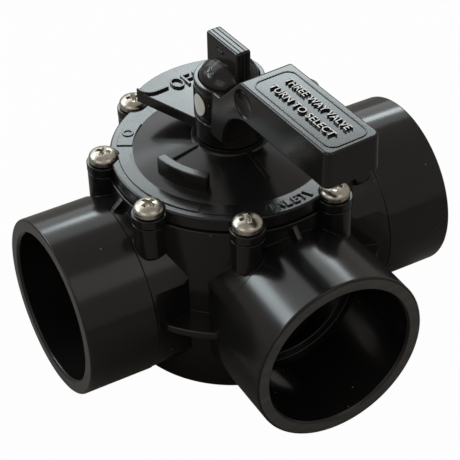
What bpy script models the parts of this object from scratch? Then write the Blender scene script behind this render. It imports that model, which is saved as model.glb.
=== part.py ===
"""Three-port diverter valve of black plastic with solvent sockets for 2 inch pipe.

The frame has its origin on the stem's axis at the flat base of the body. Port A looks along -X,
port B, the inlet, along -Y, and port C along +X. Nothing opens towards +Y. The rotor is the
handle, the diverter inside the body and the pieces fixed to them: it turns about Z, and at rest
the grip stands out over port B while the blocking wall faces the closed side, so all ports are open.
"""

import math

import bmesh
import bpy
from mathutils import Matrix

MM = 0.001
GAP = 0.3 * MM
FULL_TURN = 2 * math.pi

# Sockets. Everything along a port is measured from the stem's axis.
PORT_Z = 38.0 * MM
PORT_R = 36.5 * MM
PORT_REACH = 82.5 * MM
PORT_ANGLES = (180, 270, 0)
SOCKET_MOUTH_R = 30.6 * MM
SOCKET_END_R = 30.1 * MM
SOCKET_END = 44.5 * MM
WATERWAY_R = 26.0 * MM
EDGE_ROUND = 0.8 * MM
# The root of a port has upright flanks that open out to the full round at the ring line.
RING_LINE = 53.4 * MM
ROOT_START = 30.0 * MM
FLANK_HALF_AT_WALL = 31.2 * MM
WALL_REACH = 36.5 * MM

# Body shell and its chamber.
BODY_BASE_R = 48.0 * MM
BODY_TOP_R = 48.6 * MM
BASE_ROUND = 2.5 * MM
PARTING_Z = 80.1 * MM
BODY_TOP = PARTING_Z - GAP / 2
CHAMBER_R = 42.0 * MM
FLOOR_Z = 5.0 * MM
PIVOT_BOSS_R = 8.0 * MM
PIVOT_BOSS_TOP = 8.0 * MM
PIVOT_R = 4.0 * MM
PIVOT_HOLE_Z = 3.0 * MM
REBATE_R = 45.6 * MM
REBATE_Z = 76.6 * MM
WEB_R = 60.0 * MM
WEB_Z = (36.7 * MM, 40.0 * MM)
TAB_THICK = 2.2 * MM

# Cover screws.
SCREW_COUNT = 8
SCREW_CIRCLE = 50.0 * MM
SCREW_FIRST_ANGLE = 22.5
LUG_R = 6.9 * MM
LUG_TOP = 84.0 * MM
BOSS_BOTTOM = 66.0 * MM
SCREW_HOLE_R = 2.75 * MM
SCREW_HOLE_END = 68.5 * MM
HEAD_R = 5.9 * MM
HEAD_POCKET_R = HEAD_R + 0.4 * MM
HEAD_BASE = LUG_TOP + GAP
HEAD_RIM = 86.0 * MM
HEAD_TOP = 88.7 * MM
SHANK_R = 2.4 * MM
SHANK_END = 69.5 * MM

# Cover.
COVER_BASE = PARTING_Z + GAP / 2
FLANGE_R = 47.6 * MM
FLANGE_TOP = 85.9 * MM
DOME_FOOT_R = 38.0 * MM
NECK_R = 15.0 * MM
NECK_SHOULDER = 91.5 * MM
SPLINE_TIP_R = 14.4 * MM
SPLINE_ROOT_R = 13.8 * MM
SPLINE_TEETH = 40
NECK_TOP = 93.2 * MM
STEM_BORE_R = 9.0 * MM
SPIGOT_R = 41.4 * MM
SPIGOT_INNER_R = 38.0 * MM
SPIGOT_BOTTOM = 76.5 * MM
STOP_R = (29.8 * MM, 33.8 * MM)
STOP_TOP = 94.5 * MM
STOP_ANGLES = ((184.0, 225.5), (314.5, 356.0))
RIB_ANGLES = (0, 90, 180, 270)

# Handle. Its own frame has the grip along +X.
REST_ANGLE = -86.4
HUB_R = 13.65 * MM
HUB_BOTTOM = NECK_TOP + GAP
HUB_TOP = 119.0 * MM
ARM_BOTTOM = 99.5 * MM
ARM_HALF_BOTTOM = 12.5 * MM
ARM_HALF_TOP = 11.6 * MM
ARM_FRONT = 14.25 * MM
WEB_FOOT = 11.2 * MM
GRIP_NEAR = 24.9 * MM
GRIP_END = 79.6 * MM
GRIP_CORNER_R = 3.0 * MM
GRIP_TOP = 133.4 * MM
GRIP_BOTTOM = 118.0 * MM
GRIP_UNDER_START = 31.0 * MM
GRIP_WALL = 2.5 * MM
END_TAB = (1.2 * MM, 8.0 * MM)
END_TAB_DROP = 2.6 * MM
END_TAB_THICK = 2.2 * MM
DIMPLE_R = 6.0 * MM
DIMPLE_DEPTH = 1.8 * MM
DIMPLE_CENTRE = (27.6 * MM, 125.3 * MM)
PLATE_Z = (95.4 * MM, 100.2 * MM)
PLATE_R = 41.0 * MM
PLATE_TIP = (-35.0 * MM, 21.6 * MM)
PLATE_ROOT = (-6.0 * MM, 12.2 * MM)
STOP_LUG_R = (30.4 * MM, 33.2 * MM)
STOP_LUG_HALF_ANGLE = 3.5
STOP_LUG_BOTTOM = 89.2 * MM
RECESS_FLOOR = 112.0 * MM
RECESS_R = 12.0 * MM
SOCKET_TOP = 107.4 * MM
STICKER_ANGLE = 270.0
STICKER_Z = 110.6 * MM

# Locking knob.
KNOB_R = 11.7 * MM
KNOB_BASE = RECESS_FLOOR + GAP
KNOB_SHOULDER = 118.2 * MM
KNOB_DOME_TOP = 126.0 * MM
FIN_LENGTH = 21.6 * MM
FIN_THICK = 6.5 * MM
FIN_TOP = 134.5 * MM
STUD_R = 2.9 * MM
STUD_Z = (96.5 * MM, 116.7 * MM)

# Diverter, in the handle's frame: its blocking wall faces -X, away from the grip.
STEM_R = 8.6 * MM
STEM_TOP = 107.0 * MM
STEM_FLAT_HALF = 6.6 * MM
STEM_FLAT_BOTTOM = 95.0 * MM
DISC_R = 38.6 * MM
BOTTOM_DISC_Z = (8.6 * MM, 11.6 * MM)
TOP_DISC_Z = (72.0 * MM, 75.0 * MM)
THRUST_R = 12.0 * MM
THRUST_TOP = 80.5 * MM
WALL_R = (36.2 * MM, 40.4 * MM)
WALL_HALF_ANGLE = 46.0
SEAL_R = (39.2 * MM, 41.6 * MM)
SEAL_HALF_ANGLE = 42.2
SEAL_Z = (9.7 * MM, 66.5 * MM)
SHAFT_RING_Z = (85.5 * MM, 89.5 * MM)
SHAFT_RING_MINOR = 1.0 * MM
SHAFT_RING_MAJOR = 7.7 * MM
COVER_RING_MINOR = 1.35 * MM
COVER_RING_MAJOR = 43.8 * MM
INSERT_R = (3.2 * MM, 4.6 * MM)
INSERT_Z = (95.0 * MM, 106.6 * MM)

# How finely round shapes are divided.
LARGE_STEPS = 44
MEDIUM_STEPS = 28
SMALL_STEPS = 12
RING_SIDES = 6


def clear_scene():
    for obj in list(bpy.data.objects):
        bpy.data.objects.remove(obj, do_unlink=True)


def material(name, colour, roughness, metallic=0.0):
    made = bpy.data.materials.new(name)
    made.use_nodes = True
    shader = made.node_tree.nodes["Principled BSDF"]
    shader.inputs["Base Color"].default_value = (*colour, 1.0)
    shader.inputs["Roughness"].default_value = roughness
    shader.inputs["Metallic"].default_value = metallic
    return made


def polar(radius, degrees):
    angle = math.radians(degrees)
    return radius * math.cos(angle), radius * math.sin(angle)


def turned(profile, steps):
    """A solid turned about Z from an outline of (radius, height) points, which may touch the axis."""
    shape = bmesh.new()
    corners = [shape.verts.new((radius, 0, height)) for radius, height in profile]
    edges = [
        shape.edges.new((corner, corners[(i + 1) % len(corners)]))
        for i, corner in enumerate(corners)
        if profile[i][0] > 0 or profile[(i + 1) % len(profile)][0] > 0
    ]
    bmesh.ops.spin(
        shape,
        geom=corners + edges,
        cent=(0, 0, 0),
        axis=(0, 0, 1),
        angle=FULL_TURN,
        steps=steps,
        use_merge=True,
    )
    bmesh.ops.remove_doubles(shape, verts=shape.verts, dist=1e-6)
    bmesh.ops.recalc_face_normals(shape, faces=shape.faces)
    return shape


def prism(outline, low, high):
    """An upright solid with this outline of (x, y) points."""
    shape = bmesh.new()
    bottom = shape.faces.new([shape.verts.new((x, y, low)) for x, y in outline])
    sides = bmesh.ops.extrude_face_region(shape, geom=[bottom])
    top = [item for item in sides["geom"] if isinstance(item, bmesh.types.BMVert)]
    bmesh.ops.translate(shape, verts=top, vec=(0, 0, high - low))
    bmesh.ops.recalc_face_normals(shape, faces=shape.faces)
    return shape


def dome_profile(radius, foot, top, steps):
    """A quarter ellipse of (radius, height) points, from the top on the axis down to its foot."""
    turns = [math.pi / 2 * i / steps for i in range(steps + 1)]
    return [(radius * math.sin(turn), foot + (top - foot) * math.cos(turn)) for turn in turns]


def disc_outline(radius, steps, centre=(0, 0)):
    places = (polar(radius, 360 * i / steps) for i in range(steps))
    return [(centre[0] + x, centre[1] + y) for x, y in places]


def arc_block(radii, angles, low, high, steps):
    """A stretch of a ring with a square section."""
    turns = [angles[0] + (angles[1] - angles[0]) * i / steps for i in range(steps + 1)]
    outer = [polar(radii[1], turn) for turn in turns]
    inner = [polar(radii[0], turn) for turn in reversed(turns)]
    return prism(outer + inner, low, high)


def joined(shapes):
    """Several shapes that don't touch, as one mesh."""
    whole = bmesh.new()
    for shape in shapes:
        mesh = bpy.data.meshes.new("piece")
        shape.to_mesh(mesh)
        shape.free()
        whole.from_mesh(mesh)
        bpy.data.meshes.remove(mesh)
    return whole


def placed(shape, matrix):
    bmesh.ops.transform(shape, matrix=matrix, verts=shape.verts)
    return shape


def add_object(name, shape, finish=None, parent=None, smooth=True):
    mesh = bpy.data.meshes.new(name)
    shape.to_mesh(mesh)
    shape.free()
    obj = bpy.data.objects.new(name, mesh)
    bpy.context.scene.collection.objects.link(obj)
    obj.parent = parent
    if finish:
        mesh.materials.append(finish)
    if smooth:
        mesh.shade_smooth()
        mesh.set_sharp_from_angle(angle=math.radians(35))
    return obj


def combine(obj, shape, operation, label):
    """Adds this shape to the object, or cuts it away. The helper stays out of renders."""
    helper = add_object(f"{obj.name}_{label}", shape, smooth=False)
    helper.parent = obj.parent
    helper.hide_render = True
    helper.display_type = "WIRE"
    step = obj.modifiers.new(label, "BOOLEAN")
    step.operation = operation
    step.solver = "EXACT"
    step.object = helper


def unite(obj, shape, label):
    combine(obj, shape, "UNION", label)


def cut(obj, shape, label):
    combine(obj, shape, "DIFFERENCE", label)


def round_edges(obj, width, segments):
    bevel = obj.modifiers.new("rounded_edges", "BEVEL")
    bevel.width = width
    bevel.segments = segments
    bevel.limit_method = "ANGLE"
    bevel.angle_limit = math.radians(40)


def screw_angles():
    return [SCREW_FIRST_ANGLE + 360 / SCREW_COUNT * i for i in range(SCREW_COUNT)]


def at_screws(make):
    """One shape from make(centre) at each screw."""
    return joined([make(polar(SCREW_CIRCLE, angle)) for angle in screw_angles()])


def round_post(radius, low, high, steps):
    return lambda centre: prism(disc_outline(radius, steps, centre), low, high)


def port_outside():
    """One port's outside along +X: a round barrel whose root is cut by two upright flanks."""
    section = [
        (0, ROOT_START),
        (PORT_R, ROOT_START),
        (PORT_R, PORT_REACH - EDGE_ROUND),
        (PORT_R - EDGE_ROUND * 0.3, PORT_REACH - EDGE_ROUND * 0.3),
        (PORT_R - EDGE_ROUND, PORT_REACH),
        (0, PORT_REACH),
    ]
    lie_down = Matrix.Rotation(math.radians(90), 4, "Y")
    shape = placed(turned(section, LARGE_STEPS), Matrix.Translation((0, 0, PORT_Z)) @ lie_down)
    widening = (PORT_R - FLANK_HALF_AT_WALL) / (RING_LINE - WALL_REACH)
    for side in (1, -1):
        everything = [*shape.verts, *shape.edges, *shape.faces]
        bmesh.ops.bisect_plane(
            shape,
            geom=everything,
            plane_co=(RING_LINE, side * PORT_R, 0),
            plane_no=(-widening, side, 0),
            clear_outer=True,
        )
        bmesh.ops.holes_fill(shape, edges=shape.edges)
    bmesh.ops.recalc_face_normals(shape, faces=shape.faces)
    return shape


def port_inside():
    """One port's waterway and tapered socket along +X, with a lead-in at the mouth."""
    chamfer = EDGE_ROUND
    past = PORT_REACH + 2 * MM
    shape = turned(
        [
            (0, ROOT_START / 2),
            (WATERWAY_R, ROOT_START / 2),
            (WATERWAY_R, SOCKET_END),
            (SOCKET_END_R, SOCKET_END),
            (SOCKET_MOUTH_R, PORT_REACH - chamfer),
            (SOCKET_MOUTH_R + chamfer, PORT_REACH),
            (SOCKET_MOUTH_R + chamfer, past),
            (0, past),
        ],
        LARGE_STEPS,
    )
    lie_down = Matrix.Rotation(math.radians(90), 4, "Y")
    return placed(shape, Matrix.Translation((0, 0, PORT_Z)) @ lie_down)


def for_ports(make):
    return joined(
        [placed(make(), Matrix.Rotation(math.radians(angle), 4, "Z")) for angle in PORT_ANGLES]
    )


def corner_web(angle):
    """The level web in the corner between two ports."""
    return arc_block((45 * MM, WEB_R), (angle - 15, angle + 15), *WEB_Z, 6)


def rear_web(side):
    """The level gusset between a side port's rear flank and the closed side of the shell."""
    outline = [
        (side * 30 * MM, 24 * MM),
        (side * 50 * MM, 24 * MM),
        (side * 48.7 * MM, 35 * MM),
        (side * 29.6 * MM, 37.8 * MM),
    ]
    return prism(outline, *WEB_Z)


def port_tab():
    """The small upright gusset over a port, from the shell's wall down to the barrel, along +X."""
    outline = [
        (45 * MM, -72 * MM),
        (53 * MM, -72 * MM),
        (52.6 * MM, -74.9 * MM),
        (48.7 * MM, -78.4 * MM),
        (45 * MM, -78.4 * MM),
    ]
    shape = prism(outline, -TAB_THICK / 2, TAB_THICK / 2)
    return placed(shape, Matrix.Rotation(math.radians(-90), 4, "X"))


def build_body(finish):
    shell = turned(
        [
            (0, 0),
            (BODY_BASE_R - BASE_ROUND, 0),
            (BODY_BASE_R - BASE_ROUND * 0.3, BASE_ROUND * 0.3),
            (BODY_BASE_R, BASE_ROUND),
            (BODY_TOP_R, BODY_TOP),
            (0, BODY_TOP),
        ],
        LARGE_STEPS,
    )
    body = add_object("valve_body", shell, finish)
    unite(body, for_ports(port_outside), "ports")
    unite(body, at_screws(round_post(LUG_R, BOSS_BOTTOM, BODY_TOP, SMALL_STEPS)), "screw_bosses")
    unite(body, joined([corner_web(225), corner_web(315), rear_web(-1), rear_web(1)]), "webs")
    unite(body, for_ports(port_tab), "tabs")
    chamber = turned(
        [
            (0, PIVOT_HOLE_Z),
            (PIVOT_R + GAP, PIVOT_HOLE_Z),
            (PIVOT_R + GAP, PIVOT_BOSS_TOP),
            (PIVOT_BOSS_R, PIVOT_BOSS_TOP),
            (PIVOT_BOSS_R, FLOOR_Z),
            (CHAMBER_R, FLOOR_Z),
            (CHAMBER_R, REBATE_Z),
            (REBATE_R, REBATE_Z),
            (REBATE_R, BODY_TOP + MM),
            (0, BODY_TOP + MM),
        ],
        LARGE_STEPS,
    )
    cut(body, chamber, "chamber")
    cut(body, for_ports(port_inside), "waterways")
    holes = round_post(SCREW_HOLE_R, SCREW_HOLE_END, BODY_TOP + MM, SMALL_STEPS)
    cut(body, at_screws(holes), "screw_holes")


def spline_ring():
    """Fine teeth round the top of the cover's neck, which the locked handle bites on."""
    outline = []
    for i in range(SPLINE_TEETH):
        outline.append(polar(SPLINE_TIP_R, 360 * i / SPLINE_TEETH))
        outline.append(polar(SPLINE_ROOT_R, 360 * (i + 0.5) / SPLINE_TEETH))
    return prism(outline, NECK_SHOULDER + 0.3 * MM, NECK_TOP)


def cover_rib(angle):
    """A low rib down the dome from the neck, lying along its slope."""
    outline = [
        (11 * MM, -88 * MM),
        (29.0 * MM, -86 * MM),
        (29.0 * MM, -89.2 * MM),
        (11 * MM, -93.0 * MM),
    ]
    shape = prism(outline, -0.8 * MM, 0.8 * MM)
    upright = placed(shape, Matrix.Rotation(math.radians(-90), 4, "X"))
    return placed(upright, Matrix.Rotation(math.radians(angle), 4, "Z"))


def build_cover(finish):
    foot_round = 1.2 * MM
    section = turned(
        [
            (STEM_BORE_R, NECK_TOP),
            (STEM_BORE_R, 81.0 * MM),
            (12.5 * MM, 81.0 * MM),
            (12.5 * MM, 86.3 * MM),
            (SPIGOT_INNER_R - 0.4 * MM, 81.8 * MM),
            (SPIGOT_INNER_R, SPIGOT_BOTTOM),
            (SPIGOT_R, SPIGOT_BOTTOM),
            (SPIGOT_R, COVER_BASE),
            (FLANGE_R, COVER_BASE),
            (FLANGE_R, FLANGE_TOP - EDGE_ROUND),
            (FLANGE_R - EDGE_ROUND, FLANGE_TOP),
            (DOME_FOOT_R + foot_round, FLANGE_TOP),
            (DOME_FOOT_R, FLANGE_TOP + 0.4 * MM),
            (NECK_R, NECK_SHOULDER),
            (NECK_R - 0.1 * MM, NECK_SHOULDER + 0.6 * MM),
            (SPLINE_ROOT_R, NECK_SHOULDER + 0.6 * MM),
            (SPLINE_ROOT_R, NECK_TOP),
        ],
        LARGE_STEPS,
    )
    cover = add_object("cover", section, finish)
    cut(cover, at_screws(round_post(HEAD_POCKET_R, LUG_TOP, 90 * MM, SMALL_STEPS)), "head_pockets")
    unite(cover, at_screws(round_post(LUG_R, COVER_BASE, LUG_TOP, SMALL_STEPS)), "lugs")
    stops = [arc_block(STOP_R, angles, 86 * MM, STOP_TOP, 8) for angles in STOP_ANGLES]
    unite(cover, joined(stops), "stops")
    unite(cover, joined([cover_rib(angle) for angle in RIB_ANGLES]), "ribs")
    ring = spline_ring()
    unite(cover, ring, "spline")
    cut(cover, prism(disc_outline(STEM_BORE_R, MEDIUM_STEPS), 79 * MM, 95 * MM), "stem_bore")
    holes = round_post(SCREW_HOLE_R, COVER_BASE - MM, LUG_TOP + MM, SMALL_STEPS)
    cut(cover, at_screws(holes), "screw_holes")


def ring_seal(major, minor, height):
    turns = [FULL_TURN * i / RING_SIDES for i in range(RING_SIDES)]
    section = [(major + minor * math.cos(turn), height + minor * math.sin(turn)) for turn in turns]
    return turned(section, MEDIUM_STEPS)


def screw_mesh():
    """A pan-head screw with a cross recess, standing on the screw circle's own axis."""
    dome = dome_profile(HEAD_R, HEAD_RIM, HEAD_TOP, 3)
    outline = dome + [(HEAD_R, HEAD_BASE), (SHANK_R, HEAD_BASE), (SHANK_R, SHANK_END + MM)]
    outline += [(SHANK_R * 0.6, SHANK_END), (0, SHANK_END)]
    screw = add_object("screw_pattern", turned(outline, SMALL_STEPS))
    arm = (2.9 * MM, 0.75 * MM)
    floor_z = HEAD_TOP - 2.2 * MM
    for label, (x, y) in (("slot", arm), ("cross_slot", arm[::-1])):
        corners = [(-x, -y), (x, -y), (x, y), (-x, y)]
        cut(screw, prism(corners, floor_z, HEAD_TOP + MM), label)
    graph = bpy.context.evaluated_depsgraph_get()
    mesh = bpy.data.meshes.new_from_object(screw.evaluated_get(graph))
    screw.modifiers.clear()
    screw.hide_render = True
    screw.display_type = "WIRE"
    return mesh


def build_screws(finish):
    mesh = screw_mesh()
    mesh.name = "cover_screw"
    mesh.materials.clear()
    mesh.materials.append(finish)
    mesh.shade_smooth()
    mesh.set_sharp_from_angle(angle=math.radians(40))
    for number, angle in enumerate(screw_angles(), 1):
        screw = bpy.data.objects.new(f"cover_screw_{number}", mesh)
        bpy.context.scene.collection.objects.link(screw)
        screw.location = (*polar(SCREW_CIRCLE, angle), 0)
        screw.rotation_euler.z = math.radians(angle + 17 * number)


def arm_profile():
    """The handle's side outline, as (along, height) points: hub, sloping web, grip and underside."""
    sweep_steps = 6
    under = []
    for i in range(sweep_steps + 1):
        turn = math.radians(90 * i / sweep_steps)
        under.append(
            (
                ARM_FRONT + (GRIP_UNDER_START - ARM_FRONT) * (1 - math.cos(turn)),
                ARM_BOTTOM + MM + (GRIP_BOTTOM - ARM_BOTTOM - MM) * math.sin(turn),
            )
        )
    return [
        (-3 * MM, ARM_BOTTOM),
        (ARM_FRONT, ARM_BOTTOM),
        *under,
        (GRIP_END, GRIP_BOTTOM),
        (GRIP_END, GRIP_TOP),
        (GRIP_NEAR, GRIP_TOP),
        (WEB_FOOT, HUB_TOP),
        (-3 * MM, HUB_TOP),
    ]


def drafted_arm():
    """The arm, narrower towards the top, with the grip's end rounded at its upright corners."""
    upright = Matrix.Rotation(math.radians(90), 4, "X")
    shape = placed(prism(arm_profile(), -1.0, 1.0), upright)
    draft = (ARM_HALF_TOP - ARM_HALF_BOTTOM) / (GRIP_TOP - ARM_BOTTOM)
    for corner in shape.verts:
        corner.co.y *= ARM_HALF_BOTTOM + draft * (corner.co.z - ARM_BOTTOM)
    end_corners = [
        edge
        for edge in shape.edges
        if all(corner.co.x > GRIP_END - MM for corner in edge.verts)
        and abs(edge.verts[0].co.z - edge.verts[1].co.z) > MM
    ]
    bmesh.ops.bevel(
        shape, geom=end_corners, offset=GRIP_CORNER_R, segments=3, profile=0.5, affect="EDGES"
    )
    return shape


def end_tab():
    """The rounded tab that hangs under the right half of the grip's end."""
    middle = sum(END_TAB) / 2
    half = (END_TAB[1] - END_TAB[0]) / 2
    low = GRIP_BOTTOM - END_TAB_DROP
    steps = 8
    turns = [math.pi * i / steps for i in range(steps + 1)]
    arch = [(middle + half * math.cos(t), low + END_TAB_DROP * (1 - math.sin(t))) for t in turns]
    outline = [*arch, (END_TAB[0], GRIP_BOTTOM + MM), (END_TAB[1], GRIP_BOTTOM + MM)]
    across = [(-y, z) for y, z in outline]
    shape = prism(across, -END_TAB_THICK, 0)
    stand = Matrix(((0, 0, 1, GRIP_END - 0.3 * MM), (-1, 0, 0, 0), (0, 1, 0, 0), (0, 0, 0, 1)))
    return placed(shape, stand)


def finger_dimples():
    """A shallow round dish on each side of the arm, where the web meets the grip."""
    along, height = DIMPLE_CENTRE
    draft = (ARM_HALF_BOTTOM - ARM_HALF_TOP) / (GRIP_TOP - ARM_BOTTOM)
    surface = ARM_HALF_BOTTOM - draft * (height - ARM_BOTTOM)
    dish = dome_profile(DIMPLE_R, 0, DIMPLE_DEPTH, 4)
    shapes = []
    for side in (90, -90):
        bowl = turned([*dish, (DIMPLE_R, -MM), (0, -MM)], MEDIUM_STEPS)
        lean = Matrix.Rotation(math.radians(side), 4, "X")
        wall = Matrix.Translation((along, math.copysign(surface, side), height))
        shapes.append(placed(bowl, wall @ lean))
    return joined(shapes)


def sector_plate():
    tip_angle = math.degrees(math.atan2(PLATE_TIP[1], -PLATE_TIP[0]))
    arc_steps = 12
    edge = [
        polar(PLATE_R, 180 + tip_angle * (1 - 2 * i / arc_steps)) for i in range(arc_steps + 1)
    ]
    outline = [(PLATE_ROOT[0], -PLATE_ROOT[1]), (0, -PLATE_ROOT[1]), (0, PLATE_ROOT[1]), PLATE_ROOT]
    return prism([PLATE_ROOT, *reversed(edge), *outline[:3]], *PLATE_Z)


def flatted_stem(radius, half, low, high):
    """A round post with two flats, at y = -half and y = half."""
    limit = math.degrees(math.asin(half / radius))
    steps = 6
    turns = [-limit + 2 * limit * i / steps for i in range(steps + 1)]
    right = [polar(radius, turn) for turn in turns]
    left = [polar(radius, 180 + turn) for turn in turns]
    return prism(right + left, low, high)


def build_handle(finish, rotor):
    handle = add_object("handle", drafted_arm(), finish, rotor)
    round_edges(handle, 1.0 * MM, 2)
    pocket_half = ARM_HALF_TOP - GRIP_WALL
    pocket_ends = (GRIP_UNDER_START + 3 * MM, GRIP_END - GRIP_WALL)
    pocket = [
        (pocket_ends[0], -pocket_half),
        (pocket_ends[1], -pocket_half),
        (pocket_ends[1], pocket_half),
        (pocket_ends[0], pocket_half),
    ]
    cut(handle, prism(pocket, GRIP_BOTTOM - 2 * MM, GRIP_TOP - GRIP_WALL), "grip_pocket")
    unite(handle, end_tab(), "end_tab")
    cut(handle, finger_dimples(), "finger_dimples")
    unite(handle, prism(disc_outline(HUB_R, MEDIUM_STEPS), HUB_BOTTOM, HUB_TOP), "hub")
    unite(handle, sector_plate(), "sector_plate")
    lug_angles = (180 - STOP_LUG_HALF_ANGLE, 180 + STOP_LUG_HALF_ANGLE)
    lug = arc_block(STOP_LUG_R, lug_angles, STOP_LUG_BOTTOM, PLATE_Z[0] + MM, 2)
    unite(handle, lug, "stop_lug")
    frame = (STICKER_ANGLE - 23, STICKER_ANGLE + 23)
    window = (STICKER_ANGLE - 20, STICKER_ANGLE + 20)
    raised = arc_block((HUB_R - MM, HUB_R + GAP), frame, STICKER_Z - 6.3 * MM, STICKER_Z + 6.3 * MM, 6)
    unite(handle, raised, "sticker_frame")
    inside = arc_block((HUB_R, HUB_R + MM), window, STICKER_Z - 5.5 * MM, STICKER_Z + 5.5 * MM, 6)
    cut(handle, inside, "sticker_window")
    entry_r, stud_hole_r = STEM_R + 2 * GAP, STUD_R + 0.4 * MM
    bore = [
        (0, HUB_BOTTOM - MM),
        (entry_r, HUB_BOTTOM - MM),
        (entry_r, STEM_FLAT_BOTTOM + GAP),
        (stud_hole_r, STEM_FLAT_BOTTOM + GAP),
        (stud_hole_r, RECESS_FLOOR),
        (RECESS_R, RECESS_FLOOR),
        (RECESS_R, HUB_TOP + MM),
        (0, HUB_TOP + MM),
    ]
    cut(handle, turned(bore, MEDIUM_STEPS), "bore")
    socket = flatted_stem(STEM_R + GAP, STEM_FLAT_HALF + GAP, STEM_FLAT_BOTTOM, SOCKET_TOP)
    cut(handle, socket, "stem_socket")


def build_sticker(finish, rotor):
    """A blank oval sticker, bent round the hub inside its raised frame."""
    half_angle, half_height, steps = 15.0, 4.6 * MM, 20
    shape = bmesh.new()
    rings = []
    for radius in (HUB_R + GAP, HUB_R + 0.5 * MM):
        ring = []
        for i in range(steps):
            turn = FULL_TURN * i / steps
            x, y = polar(radius, STICKER_ANGLE + half_angle * math.cos(turn))
            ring.append(shape.verts.new((x, y, STICKER_Z + half_height * math.sin(turn))))
        rings.append(ring)
    for i in range(steps):
        after = (i + 1) % steps
        shape.faces.new((rings[0][i], rings[0][after], rings[1][after], rings[1][i]))
    for ring in rings:
        for i in range(1, steps // 2):
            low, high = steps - i, steps - i + 1
            corners = [ring[i - 1], ring[i], ring[low], ring[high % steps]]
            shape.faces.new(dict.fromkeys(corners))
        shape.faces.new((ring[steps // 2 - 1], ring[steps // 2], ring[steps // 2 + 1]))
    bmesh.ops.recalc_face_normals(shape, faces=shape.faces)
    bmesh.ops.triangulate(shape, faces=shape.faces)
    add_object("hub_sticker", shape, finish, rotor)


def build_knob(plastic, steel, knob_turn):
    dome = dome_profile(KNOB_R, KNOB_SHOULDER, KNOB_DOME_TOP, 6)
    knob = add_object(
        "locking_knob",
        turned([*dome, (KNOB_R, KNOB_BASE), (0, KNOB_BASE)], MEDIUM_STEPS),
        plastic,
        knob_turn,
    )
    x, y = FIN_LENGTH / 2, FIN_THICK / 2
    fin = prism([(-x, -y), (x, -y), (x, y), (-x, y)], KNOB_SHOULDER, FIN_TOP)
    bmesh.ops.bevel(
        fin, geom=fin.edges, offset=0.9 * MM, segments=2, profile=0.5, affect="EDGES"
    )
    unite(knob, fin, "fin")
    hole = prism(disc_outline(STUD_R + GAP, SMALL_STEPS), KNOB_BASE - MM, STUD_Z[1] + GAP)
    cut(knob, hole, "stud_hole")
    add_object("locking_stud", prism(disc_outline(STUD_R, SMALL_STEPS), *STUD_Z), steel, knob_turn)


def shaft_grooves():
    """The two grooves that the shaft O-rings lie in, as one turned cutter."""
    half = SHAFT_RING_MINOR + GAP
    inner = SHAFT_RING_MAJOR - SHAFT_RING_MINOR - GAP
    outer = STEM_R + MM
    return joined(
        [
            turned(
                [(inner, z - half), (outer, z - half), (outer, z + half), (inner, z + half)],
                MEDIUM_STEPS,
            )
            for z in SHAFT_RING_Z
        ]
    )


def build_diverter(plastic, rubber, brass, rotor):
    lower = turned(
        [
            (0, PIVOT_HOLE_Z + GAP),
            (PIVOT_R, PIVOT_HOLE_Z + GAP),
            (PIVOT_R, BOTTOM_DISC_Z[0]),
            (DISC_R, BOTTOM_DISC_Z[0]),
            (DISC_R, BOTTOM_DISC_Z[1]),
            (0, BOTTOM_DISC_Z[1]),
        ],
        MEDIUM_STEPS,
    )
    diverter = add_object("diverter", lower, plastic, rotor)
    sweep = (180 - WALL_HALF_ANGLE, 180 + WALL_HALF_ANGLE)
    unite(diverter, arc_block(WALL_R, sweep, BOTTOM_DISC_Z[0], TOP_DISC_Z[1], 14), "wall")
    upper = turned(
        [
            (0, TOP_DISC_Z[0]),
            (DISC_R, TOP_DISC_Z[0]),
            (DISC_R, TOP_DISC_Z[1]),
            (THRUST_R, TOP_DISC_Z[1]),
            (THRUST_R, THRUST_TOP),
            (STEM_R, THRUST_TOP),
            (STEM_R, STEM_FLAT_BOTTOM),
            (0, STEM_FLAT_BOTTOM),
        ],
        MEDIUM_STEPS,
    )
    unite(diverter, upper, "top_disc")
    drive = flatted_stem(STEM_R, STEM_FLAT_HALF, STEM_FLAT_BOTTOM - MM, STEM_TOP)
    unite(diverter, drive, "drive_flats")
    pocket_sweep = (180 - SEAL_HALF_ANGLE - 0.45, 180 + SEAL_HALF_ANGLE + 0.45)
    pocket_radii = (SEAL_R[0] - GAP, SEAL_R[1] + MM)
    pocket_z = (SEAL_Z[0] - GAP, SEAL_Z[1] + GAP)
    cut(diverter, arc_block(pocket_radii, pocket_sweep, *pocket_z, 14), "seal_pocket")
    cut(diverter, shaft_grooves(), "shaft_grooves")
    insert_hole = disc_outline(INSERT_R[1] + GAP, SMALL_STEPS)
    cut(diverter, prism(insert_hole, INSERT_Z[0] - GAP, STEM_TOP + MM), "insert_hole")

    seal_sweep = (180 - SEAL_HALF_ANGLE, 180 + SEAL_HALF_ANGLE)
    add_object("diverter_seal", arc_block(SEAL_R, seal_sweep, *SEAL_Z, 14), rubber, rotor)
    for place, height in zip(("lower", "upper"), SHAFT_RING_Z):
        ring = ring_seal(SHAFT_RING_MAJOR, SHAFT_RING_MINOR, height)
        add_object(f"shaft_o_ring_{place}", ring, rubber, rotor)
    sleeve = [(r, z) for r, z in zip((*INSERT_R, *INSERT_R[::-1]), sorted(INSERT_Z * 2))]
    add_object("stem_insert", turned(sleeve, SMALL_STEPS), brass, rotor)


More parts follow.
